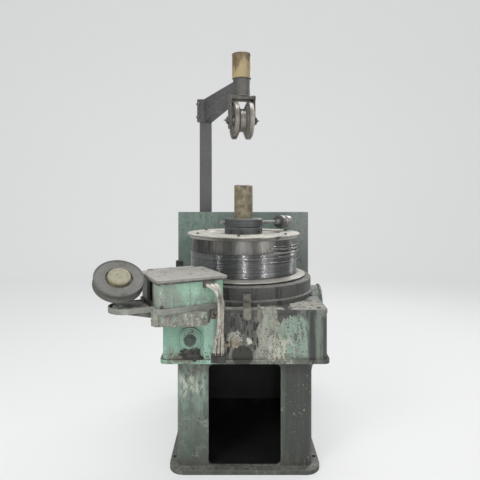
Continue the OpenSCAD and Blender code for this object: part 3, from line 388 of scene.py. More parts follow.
def worn_paint(name, paint, pale, deep, chips=0.5, grime=0.5, dust=0.7, streaks=0.5, zones=(), powder=POWDER,
               specks=0.3, over=()):
    """Enamel with runs of oil, chips, rust and powder. Zones, (mask maker, colour), lie under the
    chips, and over lies on top of everything."""
    f = Finish(name, roughness=0.5)
    broad = f.cloud(3.1, 6, 0.62)
    middle = f.cloud(11, 6, 0.70, shift=(2, 1, 4), warp=0.4)
    fine = f.cloud(70, 5, 0.75, shift=(5, 3, 1))
    runs = f.cloud(22, 5, 0.65, stretch=(1, 1, 0.08), shift=(1, 7, 2), warp=0.2)
    colour = f.mix(f.band(broad, 0.38, 0.62), deep, paint)
    colour = f.mix(f.band(middle, 0.50, 0.72, 0.0, 0.7), colour, pale)
    rough = f.band(middle, 0.3, 0.7, 0.38, 0.62)
    # A film of dirt, then runs of oil down the upright faces.
    dirt = f.calc("ADD", f.calc("MULTIPLY", broad, 0.6), f.calc("MULTIPLY", fine, 0.4))
    film = f.band(dirt, 0.60 - 0.14 * grime, 0.74 - 0.14 * grime, 0.0, 0.35 + 0.5 * grime)
    colour = f.mix(film, colour, GRIME)
    run = f.band(runs, 0.66 - 0.15 * streaks, 0.71 - 0.15 * streaks, 0.0, 0.88)
    colour = f.mix(run, colour, GREASE)
    rough = f.calc("SUBTRACT", rough, f.calc("MULTIPLY", run, 0.14))
    for make_mask, tone in zones:
        colour = f.mix(make_mask(f), colour, tone)
    # Fine light and dark lines that water and oil have drawn.
    lines = f.cloud(90, 4, 0.7, stretch=(1, 1, 0.05), shift=(8, 8, 0))
    colour = f.mix(f.band(lines, 0.58, 0.70, 0.0, 0.45), colour, GRIME)
    # Chips show pale filler, and rust or iron in their middles.
    chip_field = f.calc("ADD", f.calc("MULTIPLY", fine, 0.5), f.calc("MULTIPLY", middle, 0.5))
    limit = 0.645 - 0.115 * chips
    chip = f.band(chip_field, limit, limit + 0.008)
    deep_chip = f.band(chip_field, limit + 0.022, limit + 0.034)
    worn_edge = f.calc("MULTIPLY", f.edges(), f.band(fine, 0.44, 0.56))
    colour = f.mix(f.calc("MULTIPLY", worn_edge, 0.8), colour, FILLER)
    colour = f.mix(chip, colour, f.mix(f.band(fine, 0.45, 0.65), FILLER, powder))
    colour = f.mix(deep_chip, colour, f.mix(f.band(middle, 0.58, 0.66), BARE_IRON, RUST))
    # Dark pinholes in clusters, and powder on what faces up.
    hole = f.calc("MULTIPLY", f.band(f.pits(95, (3, 3, 3)), 0.14, 0.20, 1.0, 0.0), f.band(middle, 0.50, 0.58))
    colour = f.mix(f.calc("MULTIPLY", hole, 0.9), colour, GREASE)
    lying = f.calc("MULTIPLY", f.facing_up(), f.band(f.cloud(8, 6, 0.7), 0.35, 0.55, 0.45, 1.0))
    lying = f.calc("MULTIPLY", lying, dust)
    colour = f.mix(lying, colour, f.mix(f.band(fine, 0.35, 0.65), powder, GRIME))
    rough = f.calc("MAXIMUM", rough, f.calc("MULTIPLY", lying, 0.85))
    # Fine grit, dark and pale, over all of it.
    grit = f.cloud(125, 3, 0.8, stretch=(1, 1, 0.7), shift=(6, 2, 9))
    colour = f.mix(f.band(grit, 0.56, 0.66, 0.0, specks), colour, (0.060, 0.058, 0.052))
    colour = f.mix(f.band(grit, 0.34, 0.42, 0.4 * specks, 0.0), colour, FILLER)
    for make_mask, tone in over:
        colour = f.mix(make_mask(f), colour, tone)
    relief = f.calc("SUBTRACT", f.calc("MULTIPLY", fine, 0.5), f.calc("ADD", chip, deep_chip))
    f.bump(f.calc("ADD", relief, lying), 0.6, 0.0012)
    return f.finish(colour, rough)


# %% Zones for the paint
def patch(tone, *place, **how):
    """A streaky zone of one colour: x range, z range, cover and the other values of zone."""
    return (lambda f: f.zone(*place, **how)), tone


def mark(tone, *place):
    """A ragged spot of one colour: x, z, radius and the other values of spot."""
    return (lambda f: f.spot(*place)), tone


def holes(tone, *place):
    """Scattered dots of one colour: x range, z range and seed."""
    return (lambda f: f.dots(*place)), tone


# %% [markdown]
# The front of the gear housing is the face that everyone sees, so its wear is placed one by
# one: clean mint on the left, dark runs below the drum, bared filler beside them, green
# again, and dark runs at the right corner. The zones are given in metres.

# %% Housing paint
BLACK = (0.054, 0.052, 0.048)
CHARCOAL = (0.100, 0.097, 0.088)
SOOT = (0.030, 0.031, 0.027)
EARTH = (0.120, 0.106, 0.084)
STONE = (0.215, 0.242, 0.195)
HOUSING_ZONES = (
    patch((0.180, 0.205, 0.172), (-0.365, -0.190), (0.505, 0.590), 0.45, 1.0, 0.030, 0.020),
    patch((0.410, 0.640, 0.510), (-0.186, -0.120), (0.560, 0.780), 0.80, 1.6, 0.016),
    patch((0.135, 0.150, 0.128), (-0.130, 0.400), (0.505, 0.790), 0.60, 2.0, 0.030, even=0.8),
    patch(STONE, (0.040, 0.290), (0.505, 0.775), 1.00, 3.0, 0.020, even=0.9),
    patch((0.310, 0.302, 0.245), (0.045, 0.190), (0.510, 0.750), 0.40, 4.0, 0.020, 0.020, 0.7),
    patch((0.350, 0.350, 0.295), (0.080, 0.250), (0.505, 0.640), 0.40, 4.5, 0.020, 0.020, 0.7),
    patch((0.235, 0.325, 0.262), (0.165, 0.285), (0.505, 0.735), 0.76, 5.0, 0.020, even=0.6),
    patch(CHARCOAL, (0.050, 0.290), (0.505, 0.760), 0.33, 5.5, 0.030, 0.020),
    patch((0.130, 0.120, 0.095), (0.095, 0.160), (0.560, 0.760), 0.34, 5.6, 0.020),
    patch((0.150, 0.152, 0.136), (-0.118, 0.056), (0.505, 0.800), 0.90, 5.8, 0.012, even=0.9),
    patch((0.300, 0.300, 0.250), (-0.112, -0.040), (0.505, 0.592), 0.55, 5.9, 0.012),
    patch((0.290, 0.300, 0.245), (0.028, 0.070), (0.505, 0.585), 0.50, 5.95, 0.012),
    patch(CHARCOAL, (-0.112, 0.052), (0.632, 0.800), 0.97, 6.0, 0.012),
    patch(BLACK, (-0.112, 0.052), (0.650, 0.800), 0.62, 6.5, 0.012),
    patch(CHARCOAL, (0.000, 0.050), (0.570, 0.700), 0.90, 7.0),
    patch(BLACK, (0.026, 0.044), (0.545, 0.660), 0.90, 7.5, 0.006, even=0.8),
    patch((0.230, 0.215, 0.170), (-0.100, 0.030), (0.505, 0.600), 0.36, 7.8, 0.020, 0.010),
    patch(CHARCOAL, (0.240, 0.375), (0.745, 0.800), 0.90, 10.5, even=0.8),
    patch((0.155, 0.184, 0.158), (0.316, 0.400), (0.500, 0.790), 1.00, 11.5, 0.010, even=0.8),
    patch((0.090, 0.098, 0.084), (-0.130, 0.400), (0.490, 0.542), 0.80, 13.0, 0.008, 0.010, 0.8),
    patch(STONE, (-0.390, 0.390), (0.514, 0.530), 0.34, 13.5),
)
# Crusts, oil and holes that lie over everything else.
HOUSING_OVER = (
    patch((0.300, 0.315, 0.260), (0.062, 0.142), (0.560, 0.760), 0.55, 40.0, 0.016, 0.016, 0.5),
    patch((0.440, 0.430, 0.360), (0.100, 0.215), (0.515, 0.640), 0.42, 41.0, 0.020, 0.012),
    patch((0.034, 0.036, 0.032), (0.278, 0.320), (0.500, 0.790), 1.00, 11.0, 0.007, even=0.80),
    patch((0.048, 0.052, 0.046), (0.343, 0.400), (0.500, 0.730), 1.00, 12.0, 0.008, even=0.70),
    mark((0.540, 0.545, 0.480), -0.052, 0.630, 0.026, 0.74, 0.026, 1.3),
    mark((0.430, 0.250, 0.130), -0.060, 0.608, 0.012, 0.80, 0.016, 2.0),
    mark((0.620, 0.610, 0.520), 0.018, 0.617, 0.011, 0.90, 0.012),
    mark((0.024, 0.025, 0.019), -0.012, 0.554, 0.046, 0.97, 0.003, 1.06),
    patch((0.048, 0.048, 0.046), (0.146, 0.238), (0.716, 0.800), 1.00, 10.0, 0.006, 0.022, 0.95),
    mark((0.125, 0.110, 0.084), -0.290, 0.540, 0.022, 0.90, 0.026, 2.6),
    mark((0.052, 0.047, 0.040), -0.250, 0.566, 0.017, 0.80, 0.026, 1.5),
    mark(BLACK, -0.246, 0.627, 0.028, 0.85, 0.003),
    holes(SOOT, (-0.215, -0.150), (0.530, 0.584), 33.0),
    holes((0.110, 0.106, 0.090), (0.060, 0.260), (0.530, 0.740), 34.0),
)
housing_paint = worn_paint("housing_paint", MINT, MINT_PALE, (0.215, 0.380, 0.290), chips=0.22, grime=0.12,
                           dust=1.0, streaks=0.05, zones=HOUSING_ZONES, powder=(0.245, 0.239, 0.219),
                           specks=0.30, over=HOUSING_OVER)
dress(housing_paint, "gear_housing", "front_boss")
print("housing zones:", len(HOUSING_ZONES))

# %% [markdown]
# The other painted parts wore in their own ways: oil washed the pedestal dark, and the table
# ring is nearly black. One recipe makes them all with other colours and zones, so that they
# look like one machine.

# %% Paint of the drive
machine_paint = worn_paint("machine_paint", MINT, MINT_PALE, MINT_DEEP, chips=0.45, grime=0.6,
                           dust=0.85, streaks=0.4)
dress(machine_paint, "motor", "belt_guard", "rear_base")

# %% Pedestal and table paints
PEDESTAL_ZONES = (
    patch((0.190, 0.262, 0.212), (-0.400, -0.170), (0.300, 0.530), 0.62, 14.0, 0.040),
    patch(EARTH, (-0.400, -0.150), (0.440, 0.505), 0.52, 14.5, 0.030),
    patch((0.400, 0.410, 0.350), (-0.310, -0.190), (0.355, 0.440), 0.48, 14.7, 0.020, 0.020),
    patch((0.040, 0.043, 0.037), (0.165, 0.400), (0.000, 0.540), 0.95, 15.0, 0.030, even=0.85),
    patch(GRIME, (-0.400, 0.400), (-0.020, 0.070), 0.60, 16.0, 0.040),
)
HOLLOW_X, HOLLOW_Y = 0.2985, 0.3435


def hollow_painted_shade(f):
    """1 in the pedestal's hollow, which is painted near black as shade."""
    return f.calc("MULTIPLY", f.calc("LESS_THAN", f.calc("ABSOLUTE", f.axis("X")), HOLLOW_X),
                  f.calc("LESS_THAN", f.calc("ABSOLUTE", f.axis("Y")), HOLLOW_Y))


# Painted shade: the pedestal's hollow gets a near black colour so that its opening looks dark.
pedestal_paint = worn_paint("pedestal_paint", (0.120, 0.160, 0.132), (0.205, 0.255, 0.215),
                            (0.062, 0.074, 0.064), chips=0.45, grime=0.65, dust=0.6, streaks=0.40,
                            zones=PEDESTAL_ZONES, specks=0.25, over=((hollow_painted_shade, (0.012, 0.012, 0.012)),))
dress(pedestal_paint, "pedestal")
table_paint = worn_paint("table_paint", (0.095, 0.095, 0.092), (0.135, 0.140, 0.133), (0.055, 0.055, 0.053),
                         chips=0.15, grime=0.7, dust=0.75, streaks=0.55, powder=(0.235, 0.230, 0.212))
dress(table_paint, "table_ring")

# %% [markdown]
# The die box kept its bright mint beside the hoses, and is greyer at its left and below. The
# bracket is crusted with powder, so it gets the most chips and specks.

# %% Die station paints
BOX_ZONES = (
    patch((0.215, 0.262, 0.215), (-0.470, -0.120), (0.780, 0.860), 0.60, 21.0, 0.045, 0.020, 0.8),
    patch((0.245, 0.285, 0.236), (-0.470, -0.275), (0.780, 0.940), 0.88, 21.5, 0.045, 0.020, 0.85),
    patch((0.170, 0.172, 0.165), (-0.620, -0.376), None, 0.97, 22.0, 0.004),
)
box_paint = worn_paint("box_paint", (0.345, 0.575, 0.425), (0.425, 0.640, 0.500), (0.270, 0.460, 0.340),
                       chips=0.22, grime=0.20, dust=0.9, streaks=0.02, zones=BOX_ZONES, specks=0.35)
dress(box_paint, "die_box")
bracket_paint = worn_paint("bracket_paint", (0.235, 0.245, 0.205), (0.385, 0.390, 0.330),
                           (0.100, 0.092, 0.070), chips=0.80, grime=0.5, dust=0.9, streaks=0.2,
                           powder=(0.400, 0.390, 0.345), specks=0.85)
dress(bracket_paint, "die_bracket", "bracket_block")
tray_paint = worn_paint("tray_paint", (0.248, 0.258, 0.226), (0.345, 0.350, 0.315), (0.150, 0.155, 0.137),
                        chips=0.35, grime=0.35, dust=0.9, streaks=0.1, powder=(0.400, 0.390, 0.355))
dress(tray_paint, "box_tray", "tray_gusset")
arm_paint = worn_paint("arm_paint", (0.165, 0.205, 0.175), (0.235, 0.275, 0.240), (0.100, 0.112, 0.098),
                       chips=0.4, grime=0.6, dust=0.9, streaks=0.3)
dress(arm_paint, "wheel_arm")

# %% Guard and beam paints
GUARD_ZONES = (
    patch((0.160, 0.228, 0.190), (-0.420, -0.170), (1.020, 1.180), 0.62, 25.0, 0.050),
    patch((0.206, 0.234, 0.216), (0.290, 0.430), (0.560, 1.180), 0.80, 26.0, 0.050, even=0.8),
)
guard_paint = worn_paint("guard_paint", (0.114, 0.167, 0.142), (0.160, 0.211, 0.185), (0.083, 0.115, 0.100),
                         chips=0.06, grime=0.35, dust=0.6, streaks=0.08, zones=GUARD_ZONES, specks=0.2)
dress(guard_paint, "rear_guard")
beam_paint = worn_paint("beam_paint", (0.078, 0.077, 0.079), (0.104, 0.102, 0.103), (0.052, 0.050, 0.052),
                        chips=0.12, grime=0.4, dust=0.8, streaks=0.15)
dress(beam_paint, "post", "overhead_arm")

# %% [markdown]
# The pipe over the sheave and the cap of the guide wheel are khaki. The cap was turned, so its
# dirt lies in rings round the wheel's tilted axis.

# %% Pipe and cap paints
PIPE_STAIN = (
    patch((0.095, 0.070, 0.040), None, (1.995, 2.200), 0.62, 31.0, 0.020),
    patch((0.120, 0.088, 0.046), (-0.065, -0.020), (1.960, 2.200), 0.70, 32.0, 0.016),
)
khaki_paint = worn_paint("khaki_paint", (0.390, 0.310, 0.155), (0.480, 0.405, 0.235), (0.250, 0.190, 0.095),
                         chips=0.05, grime=0.45, dust=0.4, streaks=0.20, zones=PIPE_STAIN)
dress(khaki_paint, "hanger_pipe")
WHEEL_CENTRE = Vector((-0.52632, -0.58602, 0.920))
WHEEL_AXIS = Vector((0.26685, -0.52372, 0.80902)).normalized()
CAP_RINGS = (
    (lambda f: f.band(f.turned(WHEEL_CENTRE, WHEEL_AXIS, 95), 0.50, 0.60, 0.0, 0.75), (0.175, 0.150, 0.080)),
    (lambda f: f.band(f.turned(WHEEL_CENTRE, WHEEL_AXIS, 260), 0.56, 0.62, 0.0, 0.60), (0.420, 0.400, 0.290)),
)
cap_paint = worn_paint("cap_paint", (0.238, 0.219, 0.122), (0.296, 0.278, 0.177), (0.170, 0.147, 0.082),
                       chips=0.15, grime=0.4, dust=0.2, streaks=0.0, zones=CAP_RINGS)
dress(cap_paint, "wheel_cap")
print("painted finishes ready")

# %% [markdown]
# Bare iron and steel differ mostly in roughness and in the direction of their scratches.
# A turned part is scratched in circles round its axis, so its pattern is a row of rings.
# Oil makes dark smooth patches, powder makes pale rough ones.

# %% Metals
UPRIGHT = ((0, 0, 0), (0, 0, 1))
FLYER_TURN = math.radians(10)
PIN_TURN = math.radians(56)
ROD_END = (0.188 * math.cos(FLYER_TURN), 0.188 * math.sin(FLYER_TURN), 1.1293)
ROLLER_AXIS = (ROD_END, (math.cos(PIN_TURN), math.sin(PIN_TURN), 0))
OVER_TURN = math.radians(10)
SHEAVE_AXIS = ((-0.010, 0, 1.682), (math.cos(OVER_TURN), math.sin(OVER_TURN), 0))


def worn_metal(name, dark, light, rough=(0.30, 0.55), metallic=0.85, dust=0.3, axis=None, oil=0.4, rust=0.1,
               zones=(), powder=POWDER, scratch_and_sheen_stretch=(1, 1, 1), dirt=GRIME, relief=0.25):
    """Iron or steel with scratches, oil, powder and a little rust. Stretched upright, as on the drum, the
    scratches become painted reflection streaks.
    """
    f = Finish(name, metallic=metallic)
    broad = f.cloud(5.0, 6, 0.65)
    fine = f.cloud(70, 5, 0.75, shift=(2, 2, 2))
    # Rings round an axis when one is given, else scratches; stretched upright, its streaks are painted
    # reflections.
    scratch_and_sheen = f.turned(*axis) if axis else f.cloud(34, 5, 0.8, stretch=scratch_and_sheen_stretch, shift=(4, 1, 0))
    colour = f.mix(f.band(scratch_and_sheen, 0.38, 0.62), dark, light)
    both = f.calc("ADD", f.calc("MULTIPLY", broad, 0.5), f.calc("MULTIPLY", scratch_and_sheen, 0.5))
    roughness = f.band(both, 0.38, 0.62, rough[0], rough[1])
    oily = f.band(broad, 0.62 - 0.2 * oil, 0.68 - 0.14 * oil, 0.0, 0.8)
    colour = f.mix(oily, colour, GREASE)
    for make_mask, tone in zones:
        colour = f.mix(make_mask(f), colour, tone)
    rust_field = f.cloud(17, 6, 0.75, shift=(9, 1, 3))
    rusty = f.calc("MULTIPLY", f.band(rust_field, 0.64 - 0.2 * rust, 0.70 - 0.2 * rust),
                   f.band(fine, 0.42, 0.54))
    colour = f.mix(rusty, colour, RUST)
    worn = f.calc("MULTIPLY", f.edges(), 0.6)
    colour = f.mix(worn, colour, light)
    lying = f.calc("MULTIPLY", f.facing_up(0.2, 0.8),
                   f.band(f.cloud(9, 6, 0.7, shift=(6, 6, 6)), 0.34, 0.56, 0.4, 1.0))
    lying = f.calc("MULTIPLY", lying, dust)
    colour = f.mix(lying, colour, f.mix(f.band(fine, 0.35, 0.65), powder, dirt))
    roughness = f.calc("MAXIMUM", roughness, f.calc("MULTIPLY", lying, 0.9))
    dull = f.calc("MAXIMUM", lying, rusty)
    shine = f.calc("SUBTRACT", metallic, f.calc("MULTIPLY", dull, metallic), clamp=True)
    f.bump(f.calc("ADD", f.calc("MULTIPLY", scratch_and_sheen, 0.5), f.calc("MULTIPLY", fine, 0.5)), relief, 0.0006)
    return f.finish(colour, roughness, shine)


# %% [markdown]
# The drum's wall is a mirror that years of wire have polished. The upright streaks in its
# colour are painted reflections, made by noise that is stretched upright. The flanges carry
# powder in rings instead.

# %% Drum metals
# Painted reflections: pale, bright and dark upright streaks in the drum's colour stand in for what its mirror
# shows.
DRUM_PAINTED_REFLECTIONS = (
    (lambda f: f.band(f.cloud(32, 4, 0.6, stretch=(1, 1, 0.02), shift=(1, 1, 0)), 0.44, 0.60, 0.0, 0.4),
     (0.165, 0.157, 0.140)),
    (lambda f: f.band(f.cloud(40, 4, 0.6, stretch=(1, 1, 0.02), shift=(4, 4, 0)), 0.50, 0.62, 0.0, 0.45),
     (0.066, 0.065, 0.061)),
    (lambda f: f.band(f.cloud(75, 3, 0.6, stretch=(1, 1, 0.02), shift=(7, 7, 0)), 0.63, 0.69, 0.0, 0.55),
     (0.320, 0.310, 0.285)),
    (lambda f: f.band(f.cloud(70, 3, 0.6, stretch=(1, 1, 0.02), shift=(9, 2, 0)), 0.62, 0.69, 0.0, 0.7),
     (0.045, 0.043, 0.040)),
)
# The drum's own pattern is stretched upright too, so its streaks are painted reflections as well.
drum_steel = worn_metal("drum_steel", (0.094, 0.093, 0.089), (0.138, 0.135, 0.129), rough=(0.30, 0.42),
                        metallic=0.95, dust=0.0, oil=0.0, rust=0.0, zones=DRUM_PAINTED_REFLECTIONS, scratch_and_sheen_stretch=(1, 1, 0.02),
                        relief=0.06)
dress(drum_steel, "drum_shell", "spindle")
flange_steel = worn_metal("flange_steel", (0.170, 0.162, 0.146), (0.430, 0.415, 0.372), rough=(0.20, 0.42),
                          metallic=0.75, dust=0.95, axis=UPRIGHT, oil=0.05, rust=0.05,
                          powder=(0.620, 0.600, 0.540), dirt=(0.330, 0.315, 0.280))
dress(flange_steel, "drum_flange")
foot_steel = worn_metal("foot_steel", (0.300, 0.295, 0.275), (0.560, 0.545, 0.495), rough=(0.30, 0.5),
                        metallic=0.70, dust=0.55, axis=UPRIGHT, oil=0.05, rust=0.05,
                        powder=(0.480, 0.465, 0.415), dirt=(0.230, 0.222, 0.200))
dress(foot_steel, "drum_foot_ring")

# %% [markdown]
# The hub, the flyer and the roller are dark iron. The roller has pale bands, polished by the
# wire and partly painted highlight, so those are placed by their distance along its own axis.

# %% Hub, flyer and overhead metals
hub_iron = worn_metal("hub_iron", (0.046, 0.048, 0.050), (0.104, 0.107, 0.110), rough=(0.38, 0.6),
                      metallic=0.4, dust=0.6, axis=UPRIGHT, oil=0.15, rust=0.02, powder=(0.260, 0.255, 0.240))
dress(hub_iron, "hub_disc", "flyer_ring")
black_iron = worn_metal("black_iron", (0.020, 0.020, 0.021), (0.060, 0.058, 0.056), rough=(0.35, 0.6),
                        metallic=0.4, dust=0.5, oil=0.4, rust=0.2, powder=(0.160, 0.152, 0.138))
dress(black_iron, "guard_bracket", "lower_port", "die_holder", "hose_manifold")
# Pale bands round the roller: wire polish and painted highlight in its colour.
ROLLER_POLISH_AND_HIGHLIGHT = (
    (lambda f: f.calc("MULTIPLY", f.band(f.along(*ROLLER_AXIS), 0.050, 0.053),
                      f.band(f.along(*ROLLER_AXIS), 0.076, 0.079, 0.95, 0.0)), (0.290, 0.280, 0.245)),
    (lambda f: f.band(f.along(*ROLLER_AXIS), 0.079, 0.081, 0.0, 0.85), (0.215, 0.220, 0.205)),
    (lambda f: f.calc("MULTIPLY", f.band(f.along(*ROLLER_AXIS), 0.097, 0.099),
                      f.band(f.along(*ROLLER_AXIS), 0.103, 0.105, 0.8, 0.0)), (0.270, 0.262, 0.232)),
)
roller_iron = worn_metal("roller_iron", (0.072, 0.074, 0.077), (0.165, 0.165, 0.160), rough=(0.30, 0.5),
                         metallic=0.6, dust=0.3, axis=ROLLER_AXIS, oil=0.1, rust=0.03, zones=ROLLER_POLISH_AND_HIGHLIGHT)
dress(roller_iron, "roller")
grey_steel = worn_metal("grey_steel", (0.085, 0.078, 0.070), (0.190, 0.178, 0.158), rough=(0.4, 0.65),
                        metallic=0.6, dust=0.6, oil=0.3, rust=0.35)
dress(grey_steel, "yoke", "sheave_axle", "hinge_pin", "wheel_axle", "hose_fittings")
bright_steel = worn_metal("bright_steel", (0.130, 0.132, 0.128), (0.290, 0.292, 0.282), rough=(0.3, 0.5),
                          metallic=0.6, dust=0.4, oil=0.2, rust=0.02, dirt=(0.160, 0.158, 0.148))
dress(bright_steel, "flyer_rod", "clamp_screw")
strap_steel = worn_metal("strap_steel", (0.140, 0.132, 0.110), (0.245, 0.232, 0.195), rough=(0.45, 0.7),
                         metallic=0.35, dust=0.5, oil=0.15, rust=0.15)
dress(strap_steel, "wide_strap", "narrow_strap")
sheave_iron = worn_metal("sheave_iron", (0.128, 0.112, 0.095), (0.420, 0.398, 0.360), rough=(0.26, 0.52),
                         metallic=0.8, dust=0.3, axis=SHEAVE_AXIS, oil=0.15, rust=0.28)
dress(sheave_iron, "sheave")

# %% [markdown]
# Powder drifts over the die station, so its iron is dull and pale. The stub's top is brown with
# dried grease.

# %% Die station metals and the stub
wheel_iron = worn_metal("wheel_iron", (0.098, 0.097, 0.090), (0.138, 0.136, 0.126), rough=(0.5, 0.7),
                        metallic=0.35, dust=0.15, axis=(WHEEL_CENTRE, WHEEL_AXIS), oil=0.0, rust=0.05)
dress(wheel_iron, "guide_wheel")
lid_iron = worn_metal("lid_iron", (0.215, 0.207, 0.186), (0.330, 0.320, 0.288), rough=(0.55, 0.8),
                      metallic=0.2, dust=0.85, oil=0.05, rust=0.05, powder=(0.400, 0.392, 0.358),
                      dirt=(0.270, 0.264, 0.242))
dress(lid_iron, "lid")
sleeve_iron = worn_metal("sleeve_iron", (0.083, 0.082, 0.078), (0.132, 0.129, 0.121), rough=(0.5, 0.7),
                         metallic=0.4, dust=0.4, oil=0.1, rust=0.1)
dress(sleeve_iron, "hanger_sleeve")
stub_metal = worn_metal("stub_metal", (0.135, 0.107, 0.066), (0.265, 0.233, 0.156), rough=(0.45, 0.7),
                        metallic=0.15, dust=0.3, oil=0.12, rust=0.2)
dress(stub_metal, "spindle_stub")
print("metal finishes ready")

# %% [markdown]
# The hoses are grey with powder that caught in their cracks. Noise that is stretched upright
# draws the pale and the dark lines along them: the pale ones are powder and painted highlight,
# the dark ones painted shade of the gaps between hoses. A little relief breaks the highlight.

# %% Rubber
def rubber_with_dust_and_painted_light(name):
    f = Finish(name, roughness=0.8)
    broad = f.cloud(16, 5, 0.6)
    colour = f.mix(f.band(broad, 0.3, 0.7), (0.250, 0.230, 0.195), (0.550, 0.525, 0.460))
    lines = f.cloud(85, 5, 0.75, stretch=(1, 1, 0.12), shift=(1, 2, 3))
    # Pale upright lines: powder and painted highlight.
    colour = f.mix(f.band(lines, 0.50, 0.60, 0.0, 0.9), colour, (0.700, 0.680, 0.610))
    # Dark upright lines: painted shade of the gaps between the hoses.
    colour = f.mix(f.band(lines, 0.36, 0.42, 0.9, 0.0), colour, (0.040, 0.037, 0.033))
    f.bump(f.cloud(140, 4, 0.7), 0.3, 0.0008)
    return f.finish(colour)


hose_rubber = rubber_with_dust_and_painted_light("hose_rubber")
dress(hose_rubber, "hoses")

# %% [markdown]
# A few helpers make every fine piece. A part is built standing on the origin in a mesh of its
# own, turned to its place and joined to the rest. A sweep extrudes a circle along a path,
# which gives wire, hose and weld beads. A heap is a grid lifted by noise, and a flake is a
# thin plate with a torn outline.

# %% Helpers for fine pieces
def place_part(bm, build, place=(0, 0, 0), axis=(0, 0, 1), turn=0.0):
    """Builds a part in a mesh of its own, points its Z axis along axis and joins it to bm."""
    part = bmesh.new()
    build(part)
    aim = Vector((0, 0, 1)).rotation_difference(Vector(axis).normalized()).to_matrix()
    matrix = Matrix.Translation(Vector(place)) @ (aim @ Matrix.Rotation(turn, 3, "Z")).to_4x4()
    bmesh.ops.transform(part, matrix=matrix, verts=part.verts)
    carrier = bpy.data.meshes.new("carrier")
    part.to_mesh(carrier)
    part.free()
    count = len(carrier.vertices)
    bm.from_mesh(carrier)
    bpy.data.meshes.remove(carrier)
    bm.verts.ensure_lookup_table()
    return bm.verts[-count:]


def linked(verts, kind="link_edges"):
    """The edges, or the faces, that meet some vertices, in a fixed order."""
    return list(dict.fromkeys(found for v in verts for found in getattr(v, kind)))

def round_edges(bm, edges, width):
    """Rounds edges with two segments."""
    bmesh.ops.bevel(bm, geom=edges, offset=width, segments=2, affect="EDGES", profile=0.5, material=-1)

def once_round(count):
    """Angles once round a circle. The last one closes it."""
    return [2 * math.pi * i / count for i in range(count + 1)]


# %% Bolts and plugs
def cone(bm, place, axis, low, high, depth, segments):
    """A round plug that narrows from the radius low to the radius high."""
    def build(bm):
        bmesh.ops.create_cone(bm, cap_ends=True, segments=segments, radius1=low, radius2=high, depth=depth)
    place_part(bm, build, place, axis)

def bolt(bm, place, axis=(0, 0, 1), size=0.010, sides=6, washer=True):
    """A bolt head with a rounded top edge, on a washer."""
    def build(bm):
        if washer:
            disc = bmesh.ops.create_cone(bm, cap_ends=True, segments=20, radius1=size * 1.35,
                                         radius2=size * 1.28, depth=size * 0.25)
            bmesh.ops.translate(bm, verts=disc["verts"], vec=(0, 0, size * 0.1))
        head = bmesh.ops.create_cone(bm, cap_ends=True, segments=sides, radius1=size, radius2=size,
                                     depth=size * 0.75)["verts"]
        bmesh.ops.translate(bm, verts=head, vec=(0, 0, size * 0.5))
        edges = linked(head)
        top = [e for e in edges if all(v.co.z > size * 0.8 for v in e.verts)]
        round_edges(bm, top, size * 0.14)
    place_part(bm, build, place, axis, random.uniform(0, 1))


# %% Sweeps and welds
def sweep(bm, path, radius, segments=8):
    """Extrudes a circle along a path. The radius is one number, or one for each point."""
    count = len(path)
    sizes = radius if isinstance(radius, (list, tuple)) else [radius] * count
    aims = [(path[min(i + 1, count - 1)] - path[max(i - 1, 0)]).normalized() for i in range(count)]

    def build(bm):
        bmesh.ops.create_circle(bm, segments=segments, radius=sizes[0])
    edges = linked(place_part(bm, build, path[0], aims[0]))
    first = edges
    for i in range(1, count):
        made = bmesh.ops.extrude_edge_only(bm, edges=edges)["geom"]
        verts = [v for v in made if isinstance(v, bmesh.types.BMVert)]
        edges = [e for e in made if isinstance(e, bmesh.types.BMEdge)]
        turn = aims[i - 1].rotation_difference(aims[i]).to_matrix().to_4x4()
        grow = Matrix.Scale(sizes[i] / sizes[i - 1], 4)
        matrix = Matrix.Translation(path[i]) @ turn @ grow @ Matrix.Translation(-path[i - 1])
        bmesh.ops.transform(bm, matrix=matrix, verts=verts)
    bmesh.ops.holes_fill(bm, edges=first + edges, sides=segments)


def weld(bm, start, end, width=0.005):
    """A bead of weld: a bar that swells at each ripple."""
    start, end = Vector(start), Vector(end)
    count = max(4, int((end - start).length / 0.0035))
    path = [start.lerp(end, i / count) for i in range(count + 1)]
    sizes = [width * (1.15 if i % 2 else 0.85) * random.uniform(0.92, 1.08) for i in range(count + 1)]
    sweep(bm, path, sizes, 6)


def ring_weld(bm, centre, radius, width=0.005):
    """A bead of weld round an upright pipe."""
    count = int(2 * math.pi * radius / 0.0035)
    path = [Vector(centre) + Matrix.Rotation(2 * math.pi * i / count, 3, "Z") @ Vector((radius, 0, 0))
            for i in range(count + 1)]
    sweep(bm, path, [width * (1.12 if i % 2 else 0.88) for i in range(count + 1)], 6)


# %% Blocks and heaps
def block(bm, low, high, edge=0.001, matrix=None):
    """A block between two corners, with rounded edges."""
    low, high = Vector(low), Vector(high)
    def build(bm):
        cube = bmesh.ops.create_cube(bm, size=1.0)["verts"]
        bmesh.ops.scale(bm, verts=cube, vec=high - low)
        bmesh.ops.translate(bm, verts=cube, vec=(low + high) / 2)
        round_edges(bm, linked(cube), edge)
    fresh = place_part(bm, build)
    if matrix:
        bmesh.ops.transform(bm, matrix=matrix, verts=fresh)


